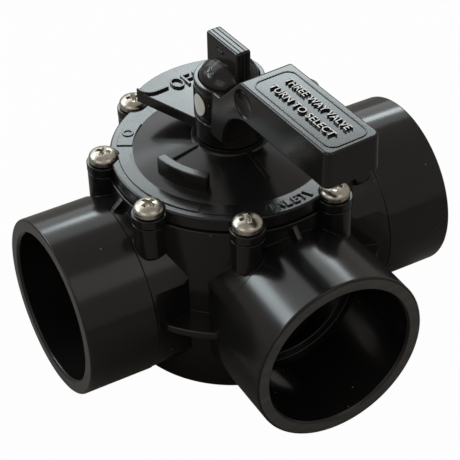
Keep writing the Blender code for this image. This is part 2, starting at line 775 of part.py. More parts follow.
def build():
    clear_scene()
    black = material("gloss_black_plastic", (0.012, 0.012, 0.013), 0.22)
    inner_black = material("inner_black_plastic", (0.016, 0.016, 0.017), 0.4)
    rubber = material("seal_rubber", (0.02, 0.02, 0.02), 0.7)
    steel = material("stainless_steel", (0.62, 0.58, 0.5), 0.28, 1.0)
    brass = material("insert_brass", (0.62, 0.45, 0.2), 0.35, 1.0)
    paper = material("sticker_paper", (0.75, 0.76, 0.72), 0.5)

    rotor = bpy.data.objects.new("rotor_axis", None)
    knob_turn = bpy.data.objects.new("knob_axis", None)
    for axis in (rotor, knob_turn):
        bpy.context.scene.collection.objects.link(axis)
    rotor.rotation_euler.z = math.radians(REST_ANGLE)
    knob_turn.parent = rotor

    build_body(black)
    build_cover(black)
    seal_height = (REBATE_Z + COVER_BASE) / 2
    ring = ring_seal(COVER_RING_MAJOR, COVER_RING_MINOR, seal_height)
    add_object("cover_o_ring", ring, rubber)
    build_screws(steel)
    build_handle(black, rotor)
    build_sticker(paper, rotor)
    build_knob(black, steel, knob_turn)
    build_diverter(inner_black, rubber, brass, rotor)


build()
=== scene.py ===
import math

import bmesh
import bpy
import numpy as np
from mathutils import Matrix, Vector


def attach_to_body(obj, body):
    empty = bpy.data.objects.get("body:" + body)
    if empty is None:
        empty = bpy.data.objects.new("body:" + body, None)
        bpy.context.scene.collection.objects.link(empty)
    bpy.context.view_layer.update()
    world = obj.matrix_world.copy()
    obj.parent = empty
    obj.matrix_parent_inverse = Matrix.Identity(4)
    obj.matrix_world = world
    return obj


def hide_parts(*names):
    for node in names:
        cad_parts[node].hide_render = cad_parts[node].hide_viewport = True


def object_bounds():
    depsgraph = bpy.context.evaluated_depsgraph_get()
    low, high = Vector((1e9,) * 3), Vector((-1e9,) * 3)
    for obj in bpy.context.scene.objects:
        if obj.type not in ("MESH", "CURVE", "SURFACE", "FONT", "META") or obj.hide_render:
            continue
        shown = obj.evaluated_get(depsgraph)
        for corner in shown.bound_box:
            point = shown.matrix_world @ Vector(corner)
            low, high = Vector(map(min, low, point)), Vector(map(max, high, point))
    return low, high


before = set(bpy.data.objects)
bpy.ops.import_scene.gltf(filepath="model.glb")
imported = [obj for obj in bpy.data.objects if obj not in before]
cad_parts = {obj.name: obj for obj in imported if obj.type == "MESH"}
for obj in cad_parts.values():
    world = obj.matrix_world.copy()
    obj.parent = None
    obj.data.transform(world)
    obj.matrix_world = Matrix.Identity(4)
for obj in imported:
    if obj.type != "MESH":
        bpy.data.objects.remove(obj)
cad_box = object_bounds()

MM = 0.001
GAP = 0.3 * MM
FULL_TURN = 2 * math.pi

# How finely round shapes are divided.
SHELL_STEPS = 192
PORT_STEPS = 144
MID_STEPS = 96
SMALL_STEPS = 40

# Sizes that the CAD part states, in its own frame.
PORT_Z = 38.0 * MM
PORT_R = 36.5 * MM
ROOT_R = 36.15 * MM
PORT_REACH = cad_box[1][0]
PORT_ANGLES = (180, 270, 0)
SOCKET_MOUTH_R = 30.6 * MM
SOCKET_END_R = 30.1 * MM
SOCKET_END = 44.5 * MM
WATERWAY_R = 26.0 * MM
RING_LINE = 53.4 * MM
ROOT_START = 30.0 * MM
FLANK_HALF_AT_WALL = 31.2 * MM
WALL_REACH = 36.5 * MM

BODY_BASE_R = 48.0 * MM
BODY_TOP_R = 48.6 * MM
PARTING_Z = 80.1 * MM
BODY_TOP = PARTING_Z - GAP / 2
CHAMBER_R = 42.0 * MM
FLOOR_Z = 5.0 * MM
PIVOT_BOSS_R = 8.0 * MM
PIVOT_BOSS_TOP = 8.0 * MM
PIVOT_R = 4.0 * MM
PIVOT_HOLE_Z = 3.0 * MM
REBATE_R = 45.6 * MM
REBATE_Z = 76.6 * MM
WEB_R = 60.0 * MM
WEB_Z = (36.7 * MM, 40.0 * MM)
TAB_THICK = 2.2 * MM

SCREW_COUNT = 8
SCREW_CIRCLE = 50.0 * MM
SCREW_FIRST_ANGLE = 22.5
LUG_R = 6.9 * MM
BOSS_R = 6.75 * MM
LUG_TOP = 84.0 * MM
BOSS_BOTTOM = 66.0 * MM
SCREW_HOLE_R = 2.75 * MM
SCREW_HOLE_END = 68.5 * MM
HEAD_R = 5.9 * MM
HEAD_POCKET_R = HEAD_R + 0.4 * MM
HEAD_BASE = LUG_TOP + GAP
HEAD_RIM = 86.0 * MM
HEAD_TOP = 88.7 * MM
SHANK_R = 2.4 * MM
SHANK_END = 69.5 * MM

COVER_BASE = PARTING_Z + GAP / 2
FLANGE_R = 47.6 * MM
FLANGE_TOP = 85.9 * MM
DOME_FOOT_R = 38.0 * MM
NECK_R = 15.0 * MM
NECK_SHOULDER = 91.5 * MM
SPLINE_TIP_R = 14.4 * MM
SPLINE_ROOT_R = 13.9 * MM
SPLINE_TEETH = 84
NECK_TOP = 93.2 * MM
STEM_BORE_R = 9.0 * MM
SPIGOT_R = 41.4 * MM
SPIGOT_INNER_R = 38.0 * MM
SPIGOT_BOTTOM = 76.5 * MM
STOP_R = (29.8 * MM, 33.8 * MM)
STOP_TOP = 94.5 * MM
STOP_ANGLES = ((184.0, 225.5), (314.5, 356.0))
RIB_ANGLES = (0, 90, 180, 270)

REST_ANGLE = -86.4
HUB_R = 13.65 * MM
HUB_BOTTOM = NECK_TOP + GAP
HUB_TOP = 119.0 * MM
ARM_BOTTOM = 99.5 * MM
ARM_HALF_BOTTOM = 12.5 * MM
ARM_HALF_TOP = 11.6 * MM
ARM_FRONT = 14.25 * MM
WEB_FOOT = 11.2 * MM
GRIP_NEAR = 24.9 * MM
GRIP_END = 79.6 * MM
GRIP_CORNER_R = 3.0 * MM
GRIP_TOP = 133.4 * MM
GRIP_BOTTOM = 118.0 * MM
GRIP_UNDER_START = 31.0 * MM
GRIP_WALL = 2.5 * MM
GRIP_EDGE = 1.3 * MM
END_TAB = (1.2 * MM, 8.0 * MM)
END_TAB_DROP = 2.6 * MM
END_TAB_THICK = 2.2 * MM
DIMPLE_R = 6.0 * MM
DIMPLE_DEPTH = 1.8 * MM
DIMPLE_CENTRE = (27.6 * MM, 125.3 * MM)
PLATE_Z = (95.4 * MM, 100.2 * MM)
PLATE_R = 41.0 * MM
PLATE_TIP = (-35.0 * MM, 21.6 * MM)
PLATE_ROOT = (-6.0 * MM, 12.2 * MM)
STOP_LUG_R = (30.4 * MM, 33.2 * MM)
STOP_LUG_HALF_ANGLE = 3.5
STOP_LUG_BOTTOM = 89.2 * MM
RECESS_FLOOR = 112.0 * MM
RECESS_R = 12.0 * MM
SOCKET_TOP = 107.4 * MM
STICKER_ANGLE = 270.0
STICKER_Z = 110.6 * MM

KNOB_R = 11.7 * MM
KNOB_BASE = RECESS_FLOOR + GAP
KNOB_SHOULDER = 118.2 * MM
KNOB_DOME_TOP = 126.0 * MM
FIN_LENGTH = 21.6 * MM
FIN_THICK = 6.5 * MM
FIN_TOP = cad_box[1][2]
STUD_R = 2.9 * MM
STUD_Z = (96.5 * MM, 116.7 * MM)

STEM_R = 8.6 * MM
STEM_TOP = 107.0 * MM
STEM_FLAT_HALF = 6.6 * MM
STEM_FLAT_BOTTOM = 95.0 * MM
DISC_R = 38.6 * MM
BOTTOM_DISC_Z = (8.6 * MM, 11.6 * MM)
TOP_DISC_Z = (72.0 * MM, 75.0 * MM)
THRUST_R = 12.0 * MM
THRUST_TOP = 80.5 * MM
WALL_R = (36.2 * MM, 40.4 * MM)
WALL_HALF_ANGLE = 46.0
SEAL_R = (39.2 * MM, 41.6 * MM)
SEAL_HALF_ANGLE = 42.2
SEAL_Z = (9.7 * MM, 66.5 * MM)
SHAFT_RING_Z = (85.5 * MM, 89.5 * MM)
SHAFT_RING_MINOR = 1.0 * MM
SHAFT_RING_MAJOR = 7.7 * MM
INSERT_R = (3.2 * MM, 4.6 * MM)
INSERT_Z = (95.0 * MM, 106.6 * MM)

# Raised words and marks.
LETTER_SINK = 0.2 * MM
LABEL_X = (28.2 * MM, 77.4 * MM)
LABEL_HALF_WIDTH = 8.9 * MM
ROW_OFFSET = 3.4 * MM
ROW_SIZE = (38.0 * MM, 3.2 * MM, 1.1 * MM)

COOL_LIGHT = (0.86, 0.97, 1.0)
WARM_LIGHT = (1.0, 0.95, 0.9)
SPLIT_ANGLE = 33.0
NORMALS = "shade_normal"


# Shapes


def polar(radius, degrees):
    angle = math.radians(degrees)
    return radius * math.cos(angle), radius * math.sin(angle)


def turn_z(degrees):
    return Matrix.Rotation(math.radians(degrees), 4, "Z")


def turn_x(degrees):
    return Matrix.Rotation(math.radians(degrees), 4, "X")


def mm(*points):
    """Points given in millimetres, as metres."""
    return [tuple(value * MM for value in point) for point in points]


def rounded(points, segments=5):
    """A closed outline whose corners with a third value, a radius, are rounded."""
    outline = []
    for i, point in enumerate(points):
        corner = Vector(point[:2])
        radius = point[2] if len(point) > 2 else 0
        if not radius:
            outline.append(tuple(corner))
            continue
        back = (Vector(points[i - 1][:2]) - corner).normalized()
        ahead = (Vector(points[(i + 1) % len(points)][:2]) - corner).normalized()
        half = back.angle(ahead) / 2
        centre = corner + (back + ahead).normalized() * radius / math.sin(half)
        start = corner + back * radius / math.tan(half) - centre
        end = corner + ahead * radius / math.tan(half) - centre
        first = math.atan2(start.y, start.x)
        sweep = math.atan2(end.y, end.x) - first
        sweep = (sweep + math.pi) % FULL_TURN - math.pi
        for k in range(segments + 1):
            turn = first + sweep * k / segments
            outline.append((centre.x + radius * math.cos(turn), centre.y + radius * math.sin(turn)))
    return outline


def faced(shape):
    """The shape with its faces pointing out."""
    bmesh.ops.recalc_face_normals(shape, faces=shape.faces)
    return shape


def turned(profile, steps):
    """A solid turned about Z from a closed outline of (radius, height) points."""
    shape = bmesh.new()
    corners = [shape.verts.new((radius, 0, height)) for radius, height in profile]
    edges = [
        shape.edges.new((corner, corners[(i + 1) % len(corners)]))
        for i, corner in enumerate(corners)
        if profile[i][0] > 0 or profile[(i + 1) % len(profile)][0] > 0
    ]
    bmesh.ops.spin(
        shape,
        geom=corners + edges,
        cent=(0, 0, 0),
        axis=(0, 0, 1),
        angle=FULL_TURN,
        steps=steps,
        use_merge=True,
    )
    bmesh.ops.remove_doubles(shape, verts=shape.verts, dist=1e-6)
    return faced(shape)


def cylinder(radius, low, high, steps):
    return turned([(0, low), (radius, low), (radius, high), (0, high)], steps)


def prism(outline, low, high):
    shape = bmesh.new()
    bottom = shape.faces.new([shape.verts.new((x, y, low)) for x, y in outline])
    sides = bmesh.ops.extrude_face_region(shape, geom=[bottom])
    top = [item for item in sides["geom"] if isinstance(item, bmesh.types.BMVert)]
    bmesh.ops.translate(shape, verts=top, vec=(0, 0, high - low))
    return faced(shape)


def disc_outline(radius, steps, centre=(0, 0)):
    places = (polar(radius, 360 * i / steps) for i in range(steps))
    return [(centre[0] + x, centre[1] + y) for x, y in places]


def arc_outline(radii, angles, steps):
    turns = [angles[0] + (angles[1] - angles[0]) * i / steps for i in range(steps + 1)]
    outer = [polar(radii[1], turn) for turn in turns]
    inner = [polar(radii[0], turn) for turn in reversed(turns)]
    return outer + inner


def arc_block(radii, angles, low, high, steps):
    return prism(arc_outline(radii, angles, steps), low, high)


def dome_profile(radius, foot, top, steps):
    turns = [math.pi / 2 * i / steps for i in range(steps + 1)]
    return [(radius * math.sin(turn), foot + (top - foot) * math.cos(turn)) for turn in turns]


def beyond(limit, axis=2):
    """A test that passes edges whose two ends lie past a limit along an axis."""
    return lambda edge: all(corner.co[axis] > limit for corner in edge.verts)


def soften(shape, width, segments=3, wanted=None, angle=35):
    """Rounds the shape's sharp edges, or those of them that pass wanted(edge)."""
    limit = math.radians(angle)
    edges = [
        edge
        for edge in shape.edges
        if len(edge.link_faces) == 2
        and edge.calc_face_angle(0) > limit
        and (wanted is None or wanted(edge))
    ]
    bmesh.ops.bevel(
        shape,
        geom=edges,
        offset=width,
        segments=segments,
        profile=0.5,
        affect="EDGES",
        clamp_overlap=True,
    )
    return shape


def placed(shape, matrix):
    bmesh.ops.transform(shape, matrix=matrix, verts=shape.verts)
    return shape


def joined(shapes):
    whole = bmesh.new()
    for shape in shapes:
        mesh = bpy.data.meshes.new("piece")
        shape.to_mesh(mesh)
        shape.free()
        whole.from_mesh(mesh)
        bpy.data.meshes.remove(mesh)
    return whole


def ribbon(points, width):
    """A closed outline of this width along a path of (x, y) points."""
    left, right = [], []
    for i, point in enumerate(points):
        before = Vector(points[max(i - 1, 0)])
        after = Vector(points[min(i + 1, len(points) - 1)])
        along = (after - before).normalized()
        side = Vector((-along.y, along.x)) * width / 2
        left.append(tuple(Vector(point) + side))
        right.append(tuple(Vector(point) - side))
    return left + right[::-1]


# Meshes and their shading


def read(items, name, width, kind=np.float64):
    values = np.zeros(len(items) * width, kind)
    items.foreach_get(name, values)
    return values.reshape(-1, width) if width > 1 else values


def store_normals(mesh):
    """Keeps each corner's smooth normal on the mesh, weighted by area, so that cuts don't change it."""
    flat = read(mesh.polygons, "normal", 3)
    area = read(mesh.polygons, "area", 1)
    count = read(mesh.polygons, "loop_total", 1, np.int32)
    vertex = read(mesh.loops, "vertex_index", 1, np.int32)
    face = np.repeat(np.arange(len(count)), count)
    order = np.argsort(vertex, kind="stable")
    starts = np.flatnonzero(np.r_[True, np.diff(vertex[order]) > 0])
    sizes = np.diff(np.r_[starts, len(order)])
    smooth = flat[face].copy()
    limit = math.cos(math.radians(SPLIT_ANGLE))
    for size in np.unique(sizes):
        rows = order[starts[sizes == size][:, None] + np.arange(size)]
        around = flat[face[rows]]
        weight = area[face[rows]]
        near = np.einsum("mia,mja->mij", around, around) > limit
        total = np.einsum("mij,mj,mja->mia", near, weight, around)
        smooth[rows] = total
    smooth /= np.maximum(np.linalg.norm(smooth, axis=1, keepdims=True), 1e-12)
    layer = mesh.attributes.get(NORMALS) or mesh.attributes.new(NORMALS, "FLOAT_VECTOR", "CORNER")
    layer.data.foreach_set("vector", smooth.astype(np.float32).ravel())


def linked(name, data):
    obj = bpy.data.objects.new(name, data)
    bpy.context.scene.collection.objects.link(obj)
    return obj


def add_object(name, shape):
    mesh = bpy.data.meshes.new(name)
    shape.to_mesh(mesh)
    shape.free()
    store_normals(mesh)
    return linked(name, mesh)


def combine(obj, shape, operation):
    helper = add_object("helper", shape)
    step = obj.modifiers.new("step", "BOOLEAN")
    step.operation = operation
    step.solver = "EXACT"
    step.object = helper
    graph = bpy.context.evaluated_depsgraph_get()
    made = bpy.data.meshes.new_from_object(
        obj.evaluated_get(graph), preserve_all_data_layers=True, depsgraph=graph
    )
    obj.modifiers.clear()
    before = obj.data
    obj.data = made
    bpy.data.meshes.remove(before)
    other = helper.data
    bpy.data.objects.remove(helper, do_unlink=True)
    bpy.data.meshes.remove(other)
    made.name = obj.name


def unite(obj, shape):
    combine(obj, shape, "UNION")


def cut(obj, shape):
    combine(obj, shape, "DIFFERENCE")


def attach(obj, others):
    """Joins other objects' meshes into this one, as raised details that sink a little into it."""
    with bpy.context.temp_override(
        active_object=obj, object=obj, selected_editable_objects=[obj, *others]
    ):
        bpy.ops.object.join()


def apply_normals(mesh):
    """Turns the kept corner normals into the mesh's shading."""
    flat = read(mesh.polygons, "normal", 3)
    count = read(mesh.polygons, "loop_total", 1, np.int32)
    face = flat[np.repeat(np.arange(len(count)), count)]
    layer = mesh.attributes[NORMALS]
    kept = read(layer.data, "vector", 3)
    length = np.linalg.norm(kept, axis=1, keepdims=True)
    kept = np.where(length > 0.5, kept / np.maximum(length, 1e-9), face)
    facing = np.einsum("ij,ij->i", kept, face)
    kept[facing < 0] *= -1
    kept[np.abs(facing) < 0.5] = face[np.abs(facing) < 0.5]
    mesh.attributes.remove(layer)
    mesh.shade_smooth()
    mesh.normals_split_custom_set(kept.tolist())


def turn_piece(obj, matrix):
    """Turns a piece about the stem's axis, with the normals kept on it."""
    obj.data.transform(matrix)
    layer = obj.data.attributes[NORMALS].data
    kept = read(layer, "vector", 3) @ np.array(matrix.to_3x3()).T
    layer.foreach_set("vector", kept.astype(np.float32).ravel())


def finish_piece(obj, looks, body, slot, *nodes, choose=None):
    """Gives the piece its looks, says what it rides on, and hides the CAD nodes it stands for."""
    mesh = obj.data
    mesh.materials.clear()
    for look in looks:
        mesh.materials.append(look)
    if choose:
        marks = np.array([choose(face) for face in mesh.polygons], np.int32)
        mesh.polygons.foreach_set("material_index", marks)
    elif len(looks) == 1:
        mesh.polygons.foreach_set("material_index", np.zeros(len(mesh.polygons), np.int32))
    apply_normals(mesh)
    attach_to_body(obj, body)
    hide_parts(*nodes)


def lettering(word, length, height, depth, bold=0.0):
    """Raised letters centred on the origin, reading along X, their foot at z = 0."""
    curve = bpy.data.curves.new(word, "FONT")
    curve.body = word
    curve.size = 1.0
    curve.extrude = 0.5
    curve.offset = bold
    curve.resolution_u = 6
    text = linked(word, curve)
    graph = bpy.context.evaluated_depsgraph_get()
    mesh = bpy.data.meshes.new_from_object(text.evaluated_get(graph))
    bpy.data.objects.remove(text, do_unlink=True)
    bpy.data.curves.remove(curve)
    shape = bmesh.new()
    shape.from_mesh(mesh)
    bpy.data.meshes.remove(mesh)
    bmesh.ops.remove_doubles(shape, verts=shape.verts, dist=1e-5)
    places = np.array([corner.co for corner in shape.verts])
    low, high = places.min(0), places.max(0)
    wide = length / (high[0] - low[0]) if length else height / (high[1] - low[1])
    scale = Matrix.Diagonal((wide, height / (high[1] - low[1]), depth, 1))
    middle = Matrix.Translation((-(low[0] + high[0]) / 2, -(low[1] + high[1]) / 2, 0.5))
    return placed(shape, scale @ middle)


# Materials


class Look:
    """A node material under construction."""

    def __init__(self, name):
        self.material = bpy.data.materials.new(name)
        self.material.use_nodes = True
        self.nodes = self.material.node_tree.nodes
        self.links = self.material.node_tree.links
        self.shader = self.nodes["Principled BSDF"]
        self.place = self.add("ShaderNodeTexCoord").outputs["Object"]

    def add(self, kind, settings=None, **inputs):
        node = self.nodes.new(kind)
        for key, value in (settings or {}).items():
            setattr(node, key, value)
        for key, value in inputs.items():
            self.feed(node.inputs[key.replace("_", " ")], value)
        return node

    def feed(self, socket, value):
        if isinstance(value, bpy.types.NodeSocket):
            self.links.new(value, socket)
        else:
            socket.default_value = value

    def noise(self, scale, detail=2.0, place=None):
        node = self.add("ShaderNodeTexNoise", Scale=scale, Detail=detail)
        self.links.new(place or self.place, node.inputs["Vector"])
        return node.outputs["Fac"]

    def ranged(self, value, low, high, to_low, to_high):
        node = self.add("ShaderNodeMapRange")
        self.feed(node.inputs["Value"], value)
        for key, number in (
            ("From Min", low),
            ("From Max", high),
            ("To Min", to_low),
            ("To Max", to_high),
        ):
            node.inputs[key].default_value = number
        return node.outputs["Result"]

    def mixed(self, share, first, second):
        node = self.add("ShaderNodeMix", {"data_type": "RGBA"})
        self.feed(node.inputs["Factor"], share)
        for socket, value in ((node.inputs[6], first), (node.inputs[7], second)):
            self.feed(socket, (*value, 1.0) if isinstance(value, tuple) else value)
        return node.outputs[2]

    def varied(self, pattern, low, high, first, second):
        """From the first colour to the second as the pattern goes from low to high."""
        return self.mixed(self.ranged(pattern, low, high, 0, 1), first, second)

    def paint(self, colour, pattern, smoothest, roughest):
        roughness = self.ranged(pattern, 0.3, 0.7, smoothest, roughest)
        self.set(Base_Color=colour, Roughness=roughness)

    def maths(self, operation, first, second=0.0):
        node = self.add("ShaderNodeMath", {"operation": operation})
        self.feed(node.inputs[0], first)
        self.feed(node.inputs[1], second)
        return node.outputs[0]

    def stretched(self, x, y, z):
        node = self.add("ShaderNodeMapping")
        self.links.new(self.place, node.inputs["Vector"])
        node.inputs["Scale"].default_value = (x, y, z)
        return node.outputs["Vector"]

    def specks(self, scale, size, share):
        """1 on small sparse specks, 0 elsewhere."""
        node = self.add("ShaderNodeTexVoronoi", Scale=scale)
        self.links.new(self.place, node.inputs["Vector"])
        split = self.add("ShaderNodeSeparateColor")
        self.links.new(node.outputs["Color"], split.inputs[0])
        near = self.maths("LESS_THAN", node.outputs["Distance"], size)
        chosen = self.maths("GREATER_THAN", split.outputs[0], 1 - share)
        return self.maths("MULTIPLY", near, chosen)

    def surface(self, height, distance, edge=0.0):
        """Bump from a height, over edges rounded to this radius."""
        bump = self.add("ShaderNodeBump")
        bump.inputs["Distance"].default_value = distance
        self.links.new(height, bump.inputs["Height"])
        if edge:
            bevel = self.add("ShaderNodeBevel", {"samples": 6}, Radius=edge)
            self.links.new(bevel.outputs[0], bump.inputs["Normal"])
        self.links.new(bump.outputs[0], self.shader.inputs["Normal"])

    def set(self, **inputs):
        for key, value in inputs.items():
            socket = self.shader.inputs[key.replace("_", " ")]
            self.feed(socket, (*value, 1.0) if isinstance(value, tuple) else value)


def gloss_black(name="gloss_black_plastic", edge=0.45 * MM, rough=(0.13, 0.22)):
    """Injection-moulded black plastic: glossy, with flow mottling, faint scuffs and some dust."""
    look = Look(name)
    mottle = look.noise(38.0, 4.0)
    base = look.varied(mottle, 0.35, 0.65, (0.0062, 0.0062, 0.0066), (0.0105, 0.0100, 0.0098))
    scuffs = look.noise(260.0, 3.0, look.stretched(1, 0.12, 0.2))
    scuffed = look.ranged(scuffs, 0.62, 0.75, 0, 0.3)
    dust = look.specks(170.0, 0.055, 0.16)
    colour = look.mixed(look.maths("MULTIPLY", dust, 0.8), base, (0.22, 0.2, 0.18))
    sheen = look.ranged(look.noise(22.0, 3.0), 0.3, 0.7, *rough)
    roughness = look.maths("ADD", sheen, look.maths("MULTIPLY", scuffed, 0.25))
    grain = look.maths("ADD", look.noise(1300.0, 2.0), look.maths("MULTIPLY", mottle, 3.0))
    look.surface(grain, 0.006 * MM, edge)
    look.set(Base_Color=colour, Roughness=roughness)
    look.shader.inputs["IOR"].default_value = 1.5
    return look.material


def end_face():
    """The sockets' end faces: the same plastic, flatter and greyer from handling."""
    look = Look("socket_end_plastic")
    scrape = look.noise(420.0, 3.0, look.stretched(0.2, 0.2, 1))
    colour = look.varied(scrape, 0.35, 0.65, (0.055, 0.055, 0.054), (0.085, 0.084, 0.081))
    look.surface(scrape, 0.02 * MM, 0.5 * MM)
    look.paint(colour, scrape, 0.34, 0.48)
    return look.material


def inner_black():
    look = Look("inner_black_plastic")
    mottle = look.noise(60.0, 3.0)
    colour = look.mixed(mottle, (0.009, 0.009, 0.0095), (0.017, 0.0165, 0.016))
    look.surface(look.noise(900.0, 2.0), 0.02 * MM, 0.4 * MM)
    look.paint(colour, mottle, 0.32, 0.45)
    return look.material


def rubber():
    look = Look("seal_rubber")
    bloom = look.noise(80.0, 4.0)
    colour = look.varied(bloom, 0.4, 0.7, (0.014, 0.014, 0.014), (0.035, 0.035, 0.034))
    look.surface(look.noise(1500.0, 3.0), 0.03 * MM)
    look.paint(colour, bloom, 0.6, 0.8)
    return look.material


def steel():
    """Stainless screws: slightly warm, softly blasted metal with small rolling marks."""
    look = Look("stainless_steel")
    cloud = look.noise(420.0, 3.0)
    colour = look.varied(cloud, 0.35, 0.65, (0.50, 0.47, 0.40), (0.66, 0.63, 0.56))
    marks = look.noise(2600.0, 2.0, look.stretched(1, 1, 4))
    look.surface(look.maths("ADD", marks, cloud), 0.01 * MM, 0.15 * MM)
    look.paint(colour, cloud, 0.2, 0.33)
    look.shader.inputs["Metallic"].default_value = 1.0
    return look.material


def brass():
    look = Look("insert_brass")
    cloud = look.noise(300.0, 3.0)
    colour = look.mixed(cloud, (0.52, 0.36, 0.14), (0.68, 0.50, 0.24))
    look.surface(cloud, 0.01 * MM)
    look.paint(colour, cloud, 0.28, 0.42)
    look.shader.inputs["Metallic"].default_value = 1.0
    return look.material


def white_print():
    """The foil-white tops of the grip's raised letters, a little worn."""
    look = Look("white_letter_tops")
    wear = look.noise(500.0, 4.0)
    colour = look.varied(wear, 0.62, 0.8, (0.86, 0.87, 0.85), (0.45, 0.45, 0.44))
    look.surface(wear, 0.02 * MM)
    look.paint(colour, wear, 0.35, 0.5)
    return look.material


def paper():
    look = Look("sticker_paper")
    fibre = look.noise(1200.0, 4.0)
    stain = look.noise(220.0, 2.0)
    clean = look.mixed(fibre, (0.68, 0.69, 0.66), (0.80, 0.81, 0.78))
    colour = look.mixed(look.ranged(stain, 0.55, 0.8, 0, 0.35), clean, (0.42, 0.41, 0.36))
    look.surface(fibre, 0.02 * MM)
    look.paint(colour, fibre, 0.42, 0.58)
    return look.material


# Body

lie_down = Matrix.Translation((0, 0, PORT_Z)) @ Matrix.Rotation(math.radians(90), 4, "Y")


def screw_angles():
    return [SCREW_FIRST_ANGLE + 360 / SCREW_COUNT * i for i in range(SCREW_COUNT)]


def at_screws(make):
    places = [polar(SCREW_CIRCLE, angle) for angle in screw_angles()]
    return joined([placed(make(), Matrix.Translation((x, y, 0))) for x, y in places])


def for_ports(make):
    return joined([placed(make(), turn_z(angle)) for angle in PORT_ANGLES])


def port_outside():
    section = rounded(
        [
            (0, ROOT_START),
            (ROOT_R, ROOT_START),
            (ROOT_R, RING_LINE - 0.2 * MM, 0.2 * MM),
            (PORT_R, RING_LINE + 0.1 * MM, 0.15 * MM),
            (PORT_R, PORT_REACH, 0.9 * MM),
            (0, PORT_REACH),
        ]
    )
    shape = placed(turned(section, PORT_STEPS), lie_down)
    widening = (PORT_R - FLANK_HALF_AT_WALL) / (RING_LINE - WALL_REACH)
    for side in (1, -1):
        bmesh.ops.bisect_plane(
            shape,
            geom=[*shape.verts, *shape.edges, *shape.faces],
            plane_co=(RING_LINE, side * PORT_R, 0),
            plane_no=(-widening, side, 0),
            clear_outer=True,
        )
        bmesh.ops.holes_fill(shape, edges=shape.edges)
    return faced(shape)


def port_inside():
    past = PORT_REACH + 2 * MM
    lead = 0.9 * MM
    section = rounded(
        [
            (0, ROOT_START / 2),
            (WATERWAY_R, ROOT_START / 2),
            (WATERWAY_R, SOCKET_END, 0.6 * MM),
            (SOCKET_END_R, SOCKET_END, 0.5 * MM),
            (SOCKET_MOUTH_R, PORT_REACH - lead, 0.6 * MM),
            (SOCKET_MOUTH_R + lead, PORT_REACH + 0.01 * MM),
            (SOCKET_MOUTH_R + lead, past),
            (0, past),
        ]
    )
    return placed(turned(section, PORT_STEPS), lie_down)


def corner_web(angle):
    shape = arc_block((45 * MM, WEB_R), (angle - 15, angle + 15), *WEB_Z, 30)
    return soften(
        shape, 0.7 * MM, 3, lambda edge: all(corner.co.xy.length > 50 * MM for corner in edge.verts)
    )


def rear_web(side):
    outline = mm((side * 30, 24), (side * 50, 24), (side * 48.7, 35), (side * 29.6, 37.8))
    return soften(prism(outline, *WEB_Z), 0.7 * MM, 3, beyond(30 * MM, axis=1))


def port_tab():
    outline = rounded(
        mm((45, -72), (53, -72), (52.6, -74.9, 0.8), (48.7, -78.4, 0.5), (45, -78.4)), 4
    )
    shape = soften(prism(outline, -TAB_THICK / 2, TAB_THICK / 2), 0.35 * MM, 2)
    return placed(shape, turn_x(-90))


def boss():
    section = rounded(
        [
            (0, BOSS_BOTTOM),
            (BOSS_R - 0.1 * MM, BOSS_BOTTOM, 0.6 * MM),
            (BOSS_R, BODY_TOP, 0.25 * MM),
            (0, BODY_TOP),
        ]
    )
    return turned(section, SMALL_STEPS)


def screw_hole(low, high):
    return lambda: cylinder(SCREW_HOLE_R, low, high, 24)


def on_port_end(face):
    """1 for the faces that close a socket's mouth."""
    places = face.center
    reach = max(abs(places.x), -places.y)
    straight = max(abs(face.normal.x), abs(face.normal.y))
    return int(reach > PORT_REACH - 0.05 * MM and straight > 0.99)


def build_body(looks):
    shell = turned(
        rounded(
            [
                (0, 0.8 * MM),
                (39.5 * MM, 0.8 * MM),
                (40.3 * MM, 0),
                (BODY_BASE_R, 0, 2.5 * MM),
                (BODY_TOP_R, BODY_TOP, 0.35 * MM),
                (0, BODY_TOP),
            ],
            7,
        ),
        SHELL_STEPS,
    )
    body = add_object("valve_body_shell", shell)
    unite(body, for_ports(port_outside))
    unite(body, at_screws(boss))
    unite(body, joined([corner_web(225), corner_web(315), rear_web(-1), rear_web(1)]))
    unite(body, for_ports(port_tab))
    chamber = turned(
        [
            (0, PIVOT_HOLE_Z),
            (PIVOT_R + GAP, PIVOT_HOLE_Z),
            (PIVOT_R + GAP, PIVOT_BOSS_TOP),
            (PIVOT_BOSS_R, PIVOT_BOSS_TOP),
            (PIVOT_BOSS_R, FLOOR_Z),
            (CHAMBER_R, FLOOR_Z),
            (CHAMBER_R, REBATE_Z),
            (REBATE_R, REBATE_Z),
            (REBATE_R, BODY_TOP + MM),
            (0, BODY_TOP + MM),
        ],
        SHELL_STEPS,
    )
    cut(body, chamber)
    cut(body, for_ports(port_inside))
    cut(body, at_screws(screw_hole(SCREW_HOLE_END, BODY_TOP + MM)))
    finish_piece(body, looks, "housing", "moulded_black", "valve_body", choose=on_port_end)


# Cover


def cover_rib(angle):
    outline = mm((11, -88), (29.0, -86), (29.0, -89.35), (11, -93.1))
    shape = soften(prism(outline, -1.1 * MM, 1.1 * MM), 0.25 * MM, 2)
    upright = placed(shape, turn_x(-90))
    return placed(upright, turn_z(angle))


def spline_ring():
    outline = []
    for i in range(SPLINE_TEETH):
        outline.append(polar(SPLINE_TIP_R, 360 * i / SPLINE_TEETH))
        outline.append(polar(SPLINE_ROOT_R, 360 * (i + 0.5) / SPLINE_TEETH))
    return prism(outline, NECK_SHOULDER + 0.3 * MM, NECK_TOP)


def lug():
    section = rounded(
        [
            (0, COVER_BASE),
            (LUG_R, COVER_BASE, 0.5 * MM),
            (LUG_R, LUG_TOP, 0.3 * MM),
            (0, LUG_TOP),
        ]
    )
    return turned(section, SMALL_STEPS)


def head_pocket():
    return cylinder(HEAD_POCKET_R, LUG_TOP, HEAD_TOP + 1.3 * MM, SMALL_STEPS)


